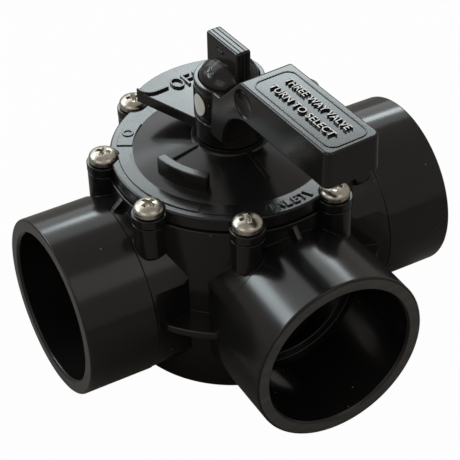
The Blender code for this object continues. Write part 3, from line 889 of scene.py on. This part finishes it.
def raised_band(radii, angles, height, steps=40):
    low = FLANGE_TOP - 0.3 * MM
    shape = arc_block(radii, angles, low, FLANGE_TOP + height, steps)
    return soften(shape, 0.18 * MM, 2, beyond(FLANGE_TOP))


def ring_mark(radii, place, height):
    low = FLANGE_TOP
    inner, outer = radii
    section = [(inner, low), (outer, low), (outer, low + height), (inner, low + height)]
    x, y = polar(*place)
    return placed(turned(section, 32), Matrix.Translation((x, y, 0)))


def cover_letters():
    """INLET round the flange, its tops towards the stem, between two slanted bars."""
    parts = []
    word, height = "INLET", 3.9 * MM
    first, pitch, radius = 261.6, 4.35, 43.2 * MM
    low = FLANGE_TOP - LETTER_SINK
    for i, letter in enumerate(word):
        angle = first + pitch * i
        width = 0.8 * MM if letter == "I" else 2.5 * MM
        shape = lettering(letter, width, height, 0.9 * MM, 0.01)
        x, y = polar(radius, angle)
        spot = Matrix.Translation((x, y, low)) @ turn_z(angle + 90)
        parts.append(placed(shape, spot))
    ends = (first - 3.6, first + pitch * (len(word) - 1) + 3.6)
    for lean, angle in zip((1, -1), ends):
        start = polar(radius + 2.1 * MM, angle - lean * 0.9)
        end = polar(radius - 2.1 * MM, angle + lean * 1.1)
        parts.append(prism(ribbon([start, end], 0.7 * MM), low, low + 0.9 * MM))
    return [add_object("mark", part) for part in parts]


def build_cover(looks):
    section = turned(
        rounded(
            [
                (STEM_BORE_R, NECK_TOP, 0.3 * MM),
                (STEM_BORE_R, 81.0 * MM),
                (12.5 * MM, 81.0 * MM),
                (12.5 * MM, 86.3 * MM),
                (SPIGOT_INNER_R - 0.4 * MM, 81.8 * MM),
                (SPIGOT_INNER_R, SPIGOT_BOTTOM),
                (SPIGOT_R, SPIGOT_BOTTOM, 0.4 * MM),
                (SPIGOT_R, COVER_BASE),
                (FLANGE_R, COVER_BASE, 0.5 * MM),
                (FLANGE_R, FLANGE_TOP, 0.8 * MM),
                (DOME_FOOT_R + 0.5 * MM, FLANGE_TOP, 2.2 * MM),
                (NECK_R, NECK_SHOULDER, 0.8 * MM),
                (NECK_R - 0.05 * MM, NECK_SHOULDER + 0.6 * MM, 0.2 * MM),
                (SPLINE_ROOT_R, NECK_SHOULDER + 0.6 * MM),
                (SPLINE_ROOT_R, NECK_TOP, 0.15 * MM),
            ],
            6,
        ),
        SHELL_STEPS,
    )
    cover = add_object("cover_disc", section)
    cut(cover, at_screws(head_pocket))
    unite(cover, at_screws(lug))
    stops = [
        soften(arc_block(STOP_R, angles, 86 * MM, STOP_TOP, 36), 0.55 * MM, 3)
        for angles in STOP_ANGLES
    ]
    unite(cover, joined(stops))
    unite(cover, joined([cover_rib(angle) for angle in RIB_ANGLES]))
    unite(cover, spline_ring())
    bore = disc_outline(STEM_BORE_R, MID_STEPS)
    cut(cover, prism(bore, 79 * MM, 95 * MM))
    cut(cover, at_screws(screw_hole(COVER_BASE - MM, LUG_TOP + MM)))
    bands = [
        raised_band((39.4 * MM, 44.4 * MM), (157.5, 224.5), 0.45 * MM),
        raised_band((38.6 * MM, 44.8 * MM), (127.5, 150.0), 0.45 * MM),
        raised_band((39.4 * MM, 44.6 * MM), (227.0, 241.0), 0.4 * MM, 14),
        raised_band((39.4 * MM, 44.4 * MM), (315.5, 382.5), 0.45 * MM),
        raised_band((38.6 * MM, 44.8 * MM), (30.0, 52.5), 0.45 * MM),
    ]
    rings = [ring_mark((1.5 * MM, 2.3 * MM), (41.6 * MM, angle), 0.85 * MM) for angle in (138.8, 41.2)]
    details = [add_object("mark", part) for part in bands + rings]
    attach(cover, details + cover_letters())
    finish_piece(cover, looks, "housing", "moulded_black", "cover")


# Screws


def tapered_slot(length, width, depth):
    """A Phillips wing: a bar that narrows towards its foot."""
    shape = bmesh.new()
    rings = []
    for height, share in ((HEAD_TOP + MM, 1.15), (HEAD_TOP - depth, 0.42)):
        x, y = length / 2 * share, width / 2 * (0.75 + 0.25 * share)
        ring = [shape.verts.new((a * x, b * y, height)) for a, b in ((-1, -1), (1, -1), (1, 1), (-1, 1))]
        rings.append(ring)
    shape.faces.new(rings[0])
    shape.faces.new(rings[1][::-1])
    for i in range(4):
        shape.faces.new((rings[0][i], rings[1][i], rings[1][i - 3], rings[0][i - 3]))
    return faced(shape)


def build_screws(looks):
    dome = dome_profile(HEAD_R, HEAD_RIM, HEAD_TOP, 12)[:-1]
    outline = dome + rounded(
        [
            (HEAD_R, HEAD_RIM),
            (HEAD_R, HEAD_BASE, 0.35 * MM),
            (SHANK_R, HEAD_BASE),
            (SHANK_R, SHANK_END + MM),
            (SHANK_R * 0.6, SHANK_END),
            (0, SHANK_END),
        ],
        4,
    )
    for number, angle in enumerate(screw_angles(), 1):
        screw = add_object(f"screw_{number}", turned(outline, 64))
        for turn in (0, 90):
            cut(screw, placed(tapered_slot(7.2 * MM, 1.9 * MM, 2.3 * MM), turn_z(turn)))
        turn_piece(screw, turn_z(angle + 17 * number))
        x, y = polar(SCREW_CIRCLE, angle)
        screw.data.transform(Matrix.Translation((x, y, 0)))
        finish_piece(screw, looks, "housing", "stainless", f"cover_screw_{number}")


# Handle

rest_turn = turn_z(REST_ANGLE)
DRAFT = (ARM_HALF_TOP - ARM_HALF_BOTTOM) / (GRIP_TOP - ARM_BOTTOM)


def arm_half(height):
    return ARM_HALF_BOTTOM + DRAFT * (height - ARM_BOTTOM)


def drafted_arm():
    sweep_steps = 20
    under = []
    for i in range(sweep_steps + 1):
        turn = math.radians(90 * i / sweep_steps)
        along = ARM_FRONT + (GRIP_UNDER_START - ARM_FRONT) * (1 - math.cos(turn))
        under.append((along, ARM_BOTTOM + MM + (GRIP_BOTTOM - ARM_BOTTOM - MM) * math.sin(turn)))
    profile = [
        (-3 * MM, ARM_BOTTOM),
        (ARM_FRONT, ARM_BOTTOM),
        *under,
        (GRIP_END, GRIP_BOTTOM),
        (GRIP_END, GRIP_TOP),
        (GRIP_NEAR, GRIP_TOP),
        (WEB_FOOT, HUB_TOP),
        (-3 * MM, HUB_TOP),
    ]
    shape = placed(prism(profile, -1.0, 1.0), turn_x(90))
    for corner in shape.verts:
        corner.co.y *= arm_half(corner.co.z)

    def upright_end(edge):
        a, b = (corner.co for corner in edge.verts)
        return min(a.x, b.x) > GRIP_END - MM and abs(a.z - b.z) > MM

    soften(shape, GRIP_CORNER_R, 8, upright_end)

    def outer(edge):
        return max(corner.co.x for corner in edge.verts) > 4 * MM

    return soften(shape, GRIP_EDGE, 4, outer, 25)


def end_tab():
    middle, half = sum(END_TAB) / 2, (END_TAB[1] - END_TAB[0]) / 2
    low = GRIP_BOTTOM - END_TAB_DROP
    turns = [math.pi * i / 20 for i in range(21)]
    arch = [(middle + half * math.cos(t), low + END_TAB_DROP * (1 - math.sin(t))) for t in turns]
    outline = [*arch, (END_TAB[0], GRIP_BOTTOM + MM), (END_TAB[1], GRIP_BOTTOM + MM)]
    shape = soften(prism([(-y, z) for y, z in outline], -END_TAB_THICK, 0), 0.4 * MM, 2)
    stand = Matrix(((0, 0, 1, GRIP_END - 0.3 * MM), (-1, 0, 0, 0), (0, 1, 0, 0), (0, 0, 0, 1)))
    return placed(shape, stand)


def finger_dimples():
    along, height = DIMPLE_CENTRE
    dish = dome_profile(DIMPLE_R, 0, DIMPLE_DEPTH, 14)
    shapes = []
    for side in (90, -90):
        bowl = turned([*dish, (DIMPLE_R, -MM), (0, -MM)], 72)
        lean = turn_x(side)
        wall = Matrix.Translation((along, math.copysign(arm_half(height), side), height))
        shapes.append(placed(bowl, wall @ lean))
    return joined(shapes)


def sector_plate():
    tip_angle = math.degrees(math.atan2(PLATE_TIP[1], -PLATE_TIP[0]))
    steps = 48
    edge = [polar(PLATE_R, 180 + tip_angle * (1 - 2 * i / steps)) for i in range(steps + 1)]
    root_x, root_y = PLATE_ROOT
    near = [(root_x, -root_y), (0, -root_y), (0, root_y)]
    return soften(prism([PLATE_ROOT, *reversed(edge), *near], *PLATE_Z), 0.45 * MM, 3)


def flatted_stem(radius, half, low, high):
    limit = math.degrees(math.asin(half / radius))
    turns = [-limit + 2 * limit * i / 20 for i in range(21)]
    right = [polar(radius, turn) for turn in turns]
    left = [polar(radius, 180 + turn) for turn in turns]
    return prism(right + left, low, high)


def border(corners, round_r, thick, low, high):
    """A thin raised line round a rounded rectangle between two opposite corners."""
    loops = []
    for inset in (0, thick):
        x0, y0, x1, y1 = (corners[i] + (inset if i < 2 else -inset) for i in range(4))
        r = round_r - inset
        loops.append(rounded([(x0, y0, r), (x1, y0, r), (x1, y1, r), (x0, y1, r)], 8))
    shape = bmesh.new()
    rings = [
        [shape.verts.new((x, y, z)) for x, y in outline]
        for outline, z in ((loops[0], low), (loops[0], high), (loops[1], high), (loops[1], low))
    ]
    count = len(loops[0])
    for i in range(count):
        after = (i + 1) % count
        for ring, following in zip(rings, rings[1:] + rings[:1]):
            shape.faces.new((ring[i], ring[after], following[after], following[i]))
    return faced(shape)


def label_border():
    corners = [LABEL_X[0], -LABEL_HALF_WIDTH, LABEL_X[1], LABEL_HALF_WIDTH]
    return border(corners, 4.0 * MM, 0.45 * MM, GRIP_TOP - 0.3 * MM, GRIP_TOP + 0.3 * MM)


def sticker_frame():
    """The raised frame on the hub round the sticker, wrapped to the hub."""
    corners = [value * MM for value in (-6.4, -8.0, 7.4, 6.2)]
    shape = border(corners, 1.6 * MM, 0.5 * MM, -0.3 * MM, 0.3 * MM)
    bmesh.ops.subdivide_edges(shape, edges=shape.edges, cuts=3)
    for corner in shape.verts:
        across, up, out = corner.co
        x, y = polar(HUB_R + out, STICKER_ANGLE + math.degrees(across / HUB_R))
        corner.co = (x, y, STICKER_Z + up)
    return faced(shape)


def plate_ridge(side):
    """The raised line beside OFF that curls out to the plate's corner."""
    bend = Vector((-34.6 * MM, 15.3 * MM))
    turns = [math.radians(90 * i / 12) for i in range(13)]
    radius = 5.2 * MM
    curl = [(bend.x + radius * math.cos(t), bend.y + radius * math.sin(t)) for t in turns]
    path = [(-29.6 * MM, 9.9 * MM), *curl, (-35.4 * MM, 20.7 * MM)]
    outline = ribbon([(x, side * y) for x, y in path], 0.9 * MM)
    shape = prism(outline, PLATE_Z[1] - 0.3 * MM, PLATE_Z[1] + 1.0 * MM)
    return soften(shape, 0.2 * MM, 2, beyond(PLATE_Z[1]))


def grip_letters():
    """Plain raised words: two small even rows on the grip, and the pointer plate's word."""
    marks = []
    for word, y in (("THREE WAY VALVE", ROW_OFFSET), ("TURN TO SELECT", -ROW_OFFSET)):
        spot = Matrix.Translation((sum(LABEL_X) / 2, y, GRIP_TOP - LETTER_SINK))
        marks.append(add_object("word", placed(lettering(word, *ROW_SIZE), spot)))
    for i, letter in enumerate("OFF"):
        shape = lettering(letter, (5.3 if letter == "O" else 4.0) * MM, 7.0 * MM, 1.1 * MM, -0.008)
        middle = (-30.0 * MM, (i - 1) * 5.4 * MM, PLATE_Z[1] - LETTER_SINK)
        marks.append(add_object("word", placed(shape, Matrix.Translation(middle) @ turn_z(90))))
    return marks


def on_letter_top(face):
    """1 for the white tops of the two rows of letters on the grip."""
    return int(face.center.z > GRIP_TOP + 0.8 * MM and face.normal.z > 0.9)


def build_handle(looks):
    handle = add_object("selector_handle", drafted_arm())
    ends = (GRIP_UNDER_START + 3 * MM, GRIP_END - GRIP_WALL)
    half = ARM_HALF_TOP - GRIP_WALL
    pocket = [(ends[0], -half), (ends[1], -half), (ends[1], half), (ends[0], half)]
    cut(handle, soften(prism(pocket, GRIP_BOTTOM - 2 * MM, GRIP_TOP - GRIP_WALL), 1.0 * MM, 3))
    unite(handle, end_tab())
    cut(handle, finger_dimples())
    hub = [
        (0, HUB_BOTTOM),
        (HUB_R, HUB_BOTTOM, 0.35 * MM),
        (HUB_R, HUB_TOP, 0.45 * MM),
        (0, HUB_TOP),
    ]
    unite(handle, turned(rounded(hub), MID_STEPS))
    unite(handle, sector_plate())
    lug_angles = (180 - STOP_LUG_HALF_ANGLE, 180 + STOP_LUG_HALF_ANGLE)
    unite(handle, arc_block(STOP_LUG_R, lug_angles, STOP_LUG_BOTTOM, PLATE_Z[0] + MM, 6))
    outline = (STICKER_ANGLE - 23, STICKER_ANGLE + 23)
    window = (STICKER_ANGLE - 20.5, STICKER_ANGLE + 20.5)
    low, high = STICKER_Z - 6.3 * MM, STICKER_Z + 6.3 * MM
    unite(handle, arc_block((HUB_R - MM, HUB_R + GAP), outline, low, high, 24))
    low, high = STICKER_Z - 5.6 * MM, STICKER_Z + 5.6 * MM
    cut(handle, arc_block((HUB_R, HUB_R + MM), window, low, high, 24))
    entry_r, stud_hole_r = STEM_R + 2 * GAP, STUD_R + 0.4 * MM
    bore = [
        (0, HUB_BOTTOM - MM),
        (entry_r, HUB_BOTTOM - MM),
        (entry_r, STEM_FLAT_BOTTOM + GAP),
        (stud_hole_r, STEM_FLAT_BOTTOM + GAP),
        (stud_hole_r, RECESS_FLOOR),
        (RECESS_R, RECESS_FLOOR),
        (RECESS_R, HUB_TOP + MM),
        (0, HUB_TOP + MM),
    ]
    cut(handle, turned(bore, MID_STEPS))
    cut(handle, flatted_stem(STEM_R + GAP, STEM_FLAT_HALF + GAP, STEM_FLAT_BOTTOM, SOCKET_TOP))
    details = [add_object("ridge", plate_ridge(side)) for side in (1, -1)]
    details.append(add_object("border", label_border()))
    details.append(add_object("window_frame", sticker_frame()))
    attach(handle, details + grip_letters())
    turn_piece(handle, rest_turn)
    finish_piece(handle, looks, "rotor", "moulded_black", "handle", choose=on_letter_top)


def build_sticker(looks):
    half_angle, half_height, steps, rings_across = 15.0, 4.6 * MM, 64, 8
    shape = bmesh.new()
    layers = []
    for radius in (HUB_R + GAP, HUB_R + 0.5 * MM):
        layer = []
        for k in range(rings_across + 1):
            share = k / rings_across
            ring = []
            for i in range(steps if k else 1):
                turn = FULL_TURN * i / steps
                x, y = polar(radius, STICKER_ANGLE + share * half_angle * math.cos(turn))
                ring.append(shape.verts.new((x, y, STICKER_Z + share * half_height * math.sin(turn))))
            layer.append(ring)
        layers.append(layer)
    for layer in layers:
        for i in range(steps):
            after = (i + 1) % steps
            shape.faces.new((layer[0][0], layer[1][i], layer[1][after]))
            for inner, outer in zip(layer[1:], layer[2:]):
                shape.faces.new((inner[i], outer[i], outer[after], inner[after]))
    for i in range(steps):
        after = (i + 1) % steps
        a, b = layers[0][-1], layers[1][-1]
        shape.faces.new((a[i], a[after], b[after], b[i]))
    sticker = add_object("oval_sticker", faced(shape))
    turn_piece(sticker, rest_turn)
    finish_piece(sticker, looks, "rotor", "sticker", "hub_sticker")


# Knob


def fin_frame(y):
    """A cutter shaped like an arch, for a thin groove over the fin's top and down its ends."""
    x, low, high = FIN_LENGTH / 2, KNOB_DOME_TOP - 6 * MM, FIN_TOP
    deep = 0.35 * MM
    inner = rounded(
        [
            (-x + deep, low),
            (x - deep, low),
            (x - deep, high - deep, 0.8 * MM),
            (-x + deep, high - deep, 0.8 * MM),
        ]
    )
    outer = [(x + MM, low), (x + MM, high + MM), (-x - MM, high + MM), (-x - MM, low)]
    arch = [*outer, inner[0], *inner[:0:-1]]
    return placed(prism(arch, y - 0.22 * MM, y + 0.22 * MM), turn_x(90))


def arrow_outline():
    return mm(
        (-3.4, -0.35), (0.4, -0.35), (0.4, -1.3), (3.2, 0.0), (0.4, 1.3), (0.4, 0.35), (-3.4, 0.35)
    )


def build_knob(looks):
    dome = dome_profile(KNOB_R, KNOB_SHOULDER, KNOB_DOME_TOP, 24)
    foot = rounded([(KNOB_R, KNOB_SHOULDER), (KNOB_R, KNOB_BASE, 0.4 * MM), (0, KNOB_BASE)])
    knob = add_object("lock_knob", turned([*dome, *foot[1:]], MID_STEPS))
    x, y = FIN_LENGTH / 2, FIN_THICK / 2
    fin = prism([(-x, -y), (x, -y), (x, y), (-x, y)], KNOB_SHOULDER, FIN_TOP)
    soften(fin, 1.1 * MM, 4)
    unite(knob, fin)
    for side in (-0.95 * MM, 0.95 * MM):
        cut(knob, fin_frame(side))
    for side in (1, -1):
        arrow = prism(arrow_outline(), -0.35 * MM, MM)
        upright = turn_x(90 * side)
        face = Matrix.Translation((0, -side * y, (KNOB_DOME_TOP + FIN_TOP) / 2 + 0.3 * MM))
        cut(knob, placed(arrow, face @ upright))
    cut(knob, cylinder(STUD_R + GAP, KNOB_BASE - MM, STUD_Z[1] + GAP, SMALL_STEPS))
    attach(knob, knob_words())
    turn_piece(knob, rest_turn)
    finish_piece(knob, looks, "lock", "moulded_black", "locking_knob")


def knob_words():
    """LOCK, raised on each half of the dome and wrapped to it."""
    words = []
    for side in (1, -1):
        shape = lettering("LOCK", 7.2 * MM, 2.3 * MM, 1.0, 0.01)
        for corner in shape.verts:
            lift = (0.3 if corner.co.z > 0.5 else -0.3) * MM
            down = 0.84 - corner.co.y / (9.5 * MM)
            turn = corner.co.x / (9.0 * MM)
            out = (KNOB_R + lift) * math.sin(down)
            height = KNOB_SHOULDER + (KNOB_DOME_TOP - KNOB_SHOULDER + lift) * math.cos(down)
            corner.co = (side * out * math.sin(turn), -side * out * math.cos(turn), height)
        words.append(add_object("word", faced(shape)))
    return words


# Inside


def build_diverter(looks, seal_looks):
    lower = turned(
        rounded(
            [
                (0, PIVOT_HOLE_Z + GAP),
                (PIVOT_R, PIVOT_HOLE_Z + GAP, 0.4 * MM),
                (PIVOT_R, BOTTOM_DISC_Z[0]),
                (DISC_R, BOTTOM_DISC_Z[0], 0.4 * MM),
                (DISC_R, BOTTOM_DISC_Z[1], 0.4 * MM),
                (0, BOTTOM_DISC_Z[1]),
            ],
            3,
        ),
        MID_STEPS,
    )
    diverter = add_object("diverter_core", lower)
    sweep = (180 - WALL_HALF_ANGLE, 180 + WALL_HALF_ANGLE)
    unite(diverter, arc_block(WALL_R, sweep, BOTTOM_DISC_Z[0], TOP_DISC_Z[1], 64))
    upper = turned(
        rounded(
            [
                (0, TOP_DISC_Z[0]),
                (DISC_R, TOP_DISC_Z[0], 0.4 * MM),
                (DISC_R, TOP_DISC_Z[1], 0.4 * MM),
                (THRUST_R, TOP_DISC_Z[1]),
                (THRUST_R, THRUST_TOP, 0.4 * MM),
                (STEM_R, THRUST_TOP),
                (STEM_R, STEM_FLAT_BOTTOM),
                (0, STEM_FLAT_BOTTOM),
            ],
            3,
        ),
        MID_STEPS,
    )
    unite(diverter, upper)
    unite(diverter, flatted_stem(STEM_R, STEM_FLAT_HALF, STEM_FLAT_BOTTOM - MM, STEM_TOP))
    pocket_sweep = (180 - SEAL_HALF_ANGLE - 0.45, 180 + SEAL_HALF_ANGLE + 0.45)
    pocket_radii = (SEAL_R[0] - GAP, SEAL_R[1] + MM)
    cut(diverter, arc_block(pocket_radii, pocket_sweep, SEAL_Z[0] - GAP, SEAL_Z[1] + GAP, 64))
    half = SHAFT_RING_MINOR + GAP
    inner, outer = SHAFT_RING_MAJOR - SHAFT_RING_MINOR - GAP, STEM_R + MM
    grooves = [
        turned([(inner, z - half), (outer, z - half), (outer, z + half), (inner, z + half)], MID_STEPS)
        for z in SHAFT_RING_Z
    ]
    cut(diverter, joined(grooves))
    hole_r = INSERT_R[1] + GAP
    cut(diverter, prism(disc_outline(hole_r, SMALL_STEPS), INSERT_Z[0] - GAP, STEM_TOP + MM))
    turn_piece(diverter, rest_turn)
    finish_piece(diverter, looks, "rotor", "inner_black", "diverter")

    sweep = (180 - SEAL_HALF_ANGLE, 180 + SEAL_HALF_ANGLE)
    seal = add_object("wall_seal", soften(arc_block(SEAL_R, sweep, *SEAL_Z, 64), 0.5 * MM, 3))
    turn_piece(seal, rest_turn)
    finish_piece(seal, seal_looks, "rotor", "seal_rubber", "diverter_seal")


def dress_cad_nodes(looks):
    """The small pieces that keep their CAD shape, with a finished material each."""
    for name, look in looks.items():
        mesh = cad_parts[name].data
        mesh.materials.clear()
        mesh.materials.append(look)


# Studio


def build_floor():
    shape = bmesh.new()
    half = 6.0
    level = cad_box[0][2] - GAP
    corners = [(-half, -half), (half, -half), (half, half), (-half, half)]
    shape.faces.new([shape.verts.new((x, y, level)) for x, y in corners])
    mesh = bpy.data.meshes.new("floor")
    shape.to_mesh(mesh)
    shape.free()
    floor = linked("floor", mesh)
    made = bpy.data.materials.new("pale_floor")
    made.use_nodes = True
    nodes, links = made.node_tree.nodes, made.node_tree.links
    nodes.clear()
    paint = nodes.new("ShaderNodeBsdfDiffuse")
    paint.inputs["Color"].default_value = (0.30, 0.28, 0.26, 1)
    glow = nodes.new("ShaderNodeEmission")
    glow.inputs["Color"].default_value = (1, 1, 1, 1)
    glow.inputs["Strength"].default_value = 1.0
    seen = nodes.new("ShaderNodeLightPath")
    share = nodes.new("ShaderNodeMath")
    share.operation = "MULTIPLY"
    share.inputs[1].default_value = 0.98
    mix = nodes.new("ShaderNodeMixShader")
    out = nodes.new("ShaderNodeOutputMaterial")
    links.new(seen.outputs["Is Camera Ray"], share.inputs[0])
    links.new(share.outputs[0], mix.inputs[0])
    links.new(paint.outputs[0], mix.inputs[1])
    links.new(glow.outputs[0], mix.inputs[2])
    links.new(mix.outputs[0], out.inputs["Surface"])
    mesh.materials.append(made)


def direction(azimuth, elevation):
    across, along = polar(math.cos(math.radians(elevation)), azimuth)
    return Vector((across, along, math.sin(math.radians(elevation))))


def softbox(name, azimuth, elevation, distance, size, radiance, colour=(1, 1, 1)):
    """An area light that faces the object, given by the brightness of its surface."""
    light = bpy.data.lights.new(name, "AREA")
    light.shape = "RECTANGLE"
    light.size, light.size_y = size
    light.energy = radiance * math.pi * size[0] * size[1]
    light.color = colour
    obj = linked(name, light)
    middle = Vector((0, 0, 0.07))
    toward = direction(azimuth, elevation)
    obj.location = middle + toward * distance
    obj.rotation_euler = toward.to_track_quat("Z", "Y").to_euler()


def build_studio():
    build_floor()
    world = bpy.data.worlds.new("studio")
    world.use_nodes = True
    back = world.node_tree.nodes["Background"]
    back.inputs["Color"].default_value = (1.0, 0.93, 0.86, 1)
    back.inputs["Strength"].default_value = 0.36
    bpy.context.scene.world = world
    softbox("rear_right_strip", 60, 34.0, 1.6, (0.7, 0.2), 7.5, COOL_LIGHT)
    softbox("rear_middle_strip", 96, 37.0, 1.6, (0.8, 0.14), 2.0, COOL_LIGHT)
    softbox("rear_left_strip", 128, 33.5, 1.6, (0.9, 0.3), 7.0, COOL_LIGHT)
    softbox("rear_wall", 88, 36.0, 2.2, (3.2, 1.9), 1.0, (0.93, 0.98, 1.0))
    softbox("left_softbox", 200, 35, 1.6, (0.9, 0.9), 0.7, WARM_LIGHT)
    softbox("front_fill", 285, 50, 1.8, (0.9, 0.9), 0.6, WARM_LIGHT)

    camera = bpy.data.cameras.new("camera")
    camera.sensor_width = 36.0
    camera.lens = 131.15
    camera.clip_start = 0.05
    camera.clip_end = 50.0
    obj = linked("camera", camera)
    right = Vector((0.868974, -0.494564, -0.017150))
    up = Vector((0.321233, 0.537389, 0.779775))
    away = Vector((-0.376428, -0.683108, 0.625844))
    place = Matrix((right, up, away)).transposed().to_4x4()
    place.translation = (-0.25898, -0.46800, 0.47228)
    obj.matrix_world = place
    bpy.context.scene.camera = obj
    bpy.context.scene.view_settings.view_transform = "Standard"


def build():
    black = gloss_black()
    fine_black = gloss_black("gloss_black_fine", 0.2 * MM)
    inside = inner_black()
    soft = rubber()
    metal = steel()
    build_body([black, end_face()])
    build_cover([fine_black])
    build_screws([metal])
    build_handle([fine_black, white_print()])
    build_sticker([paper()])
    build_knob([fine_black])
    build_diverter([inside], [soft])
    dress_cad_nodes(
        {
            "cover_o_ring": soft,
            "shaft_o_ring_lower": soft,
            "shaft_o_ring_upper": soft,
            "stem_insert": brass(),
            "locking_stud": metal,
        }
    )
    build_studio()


build()
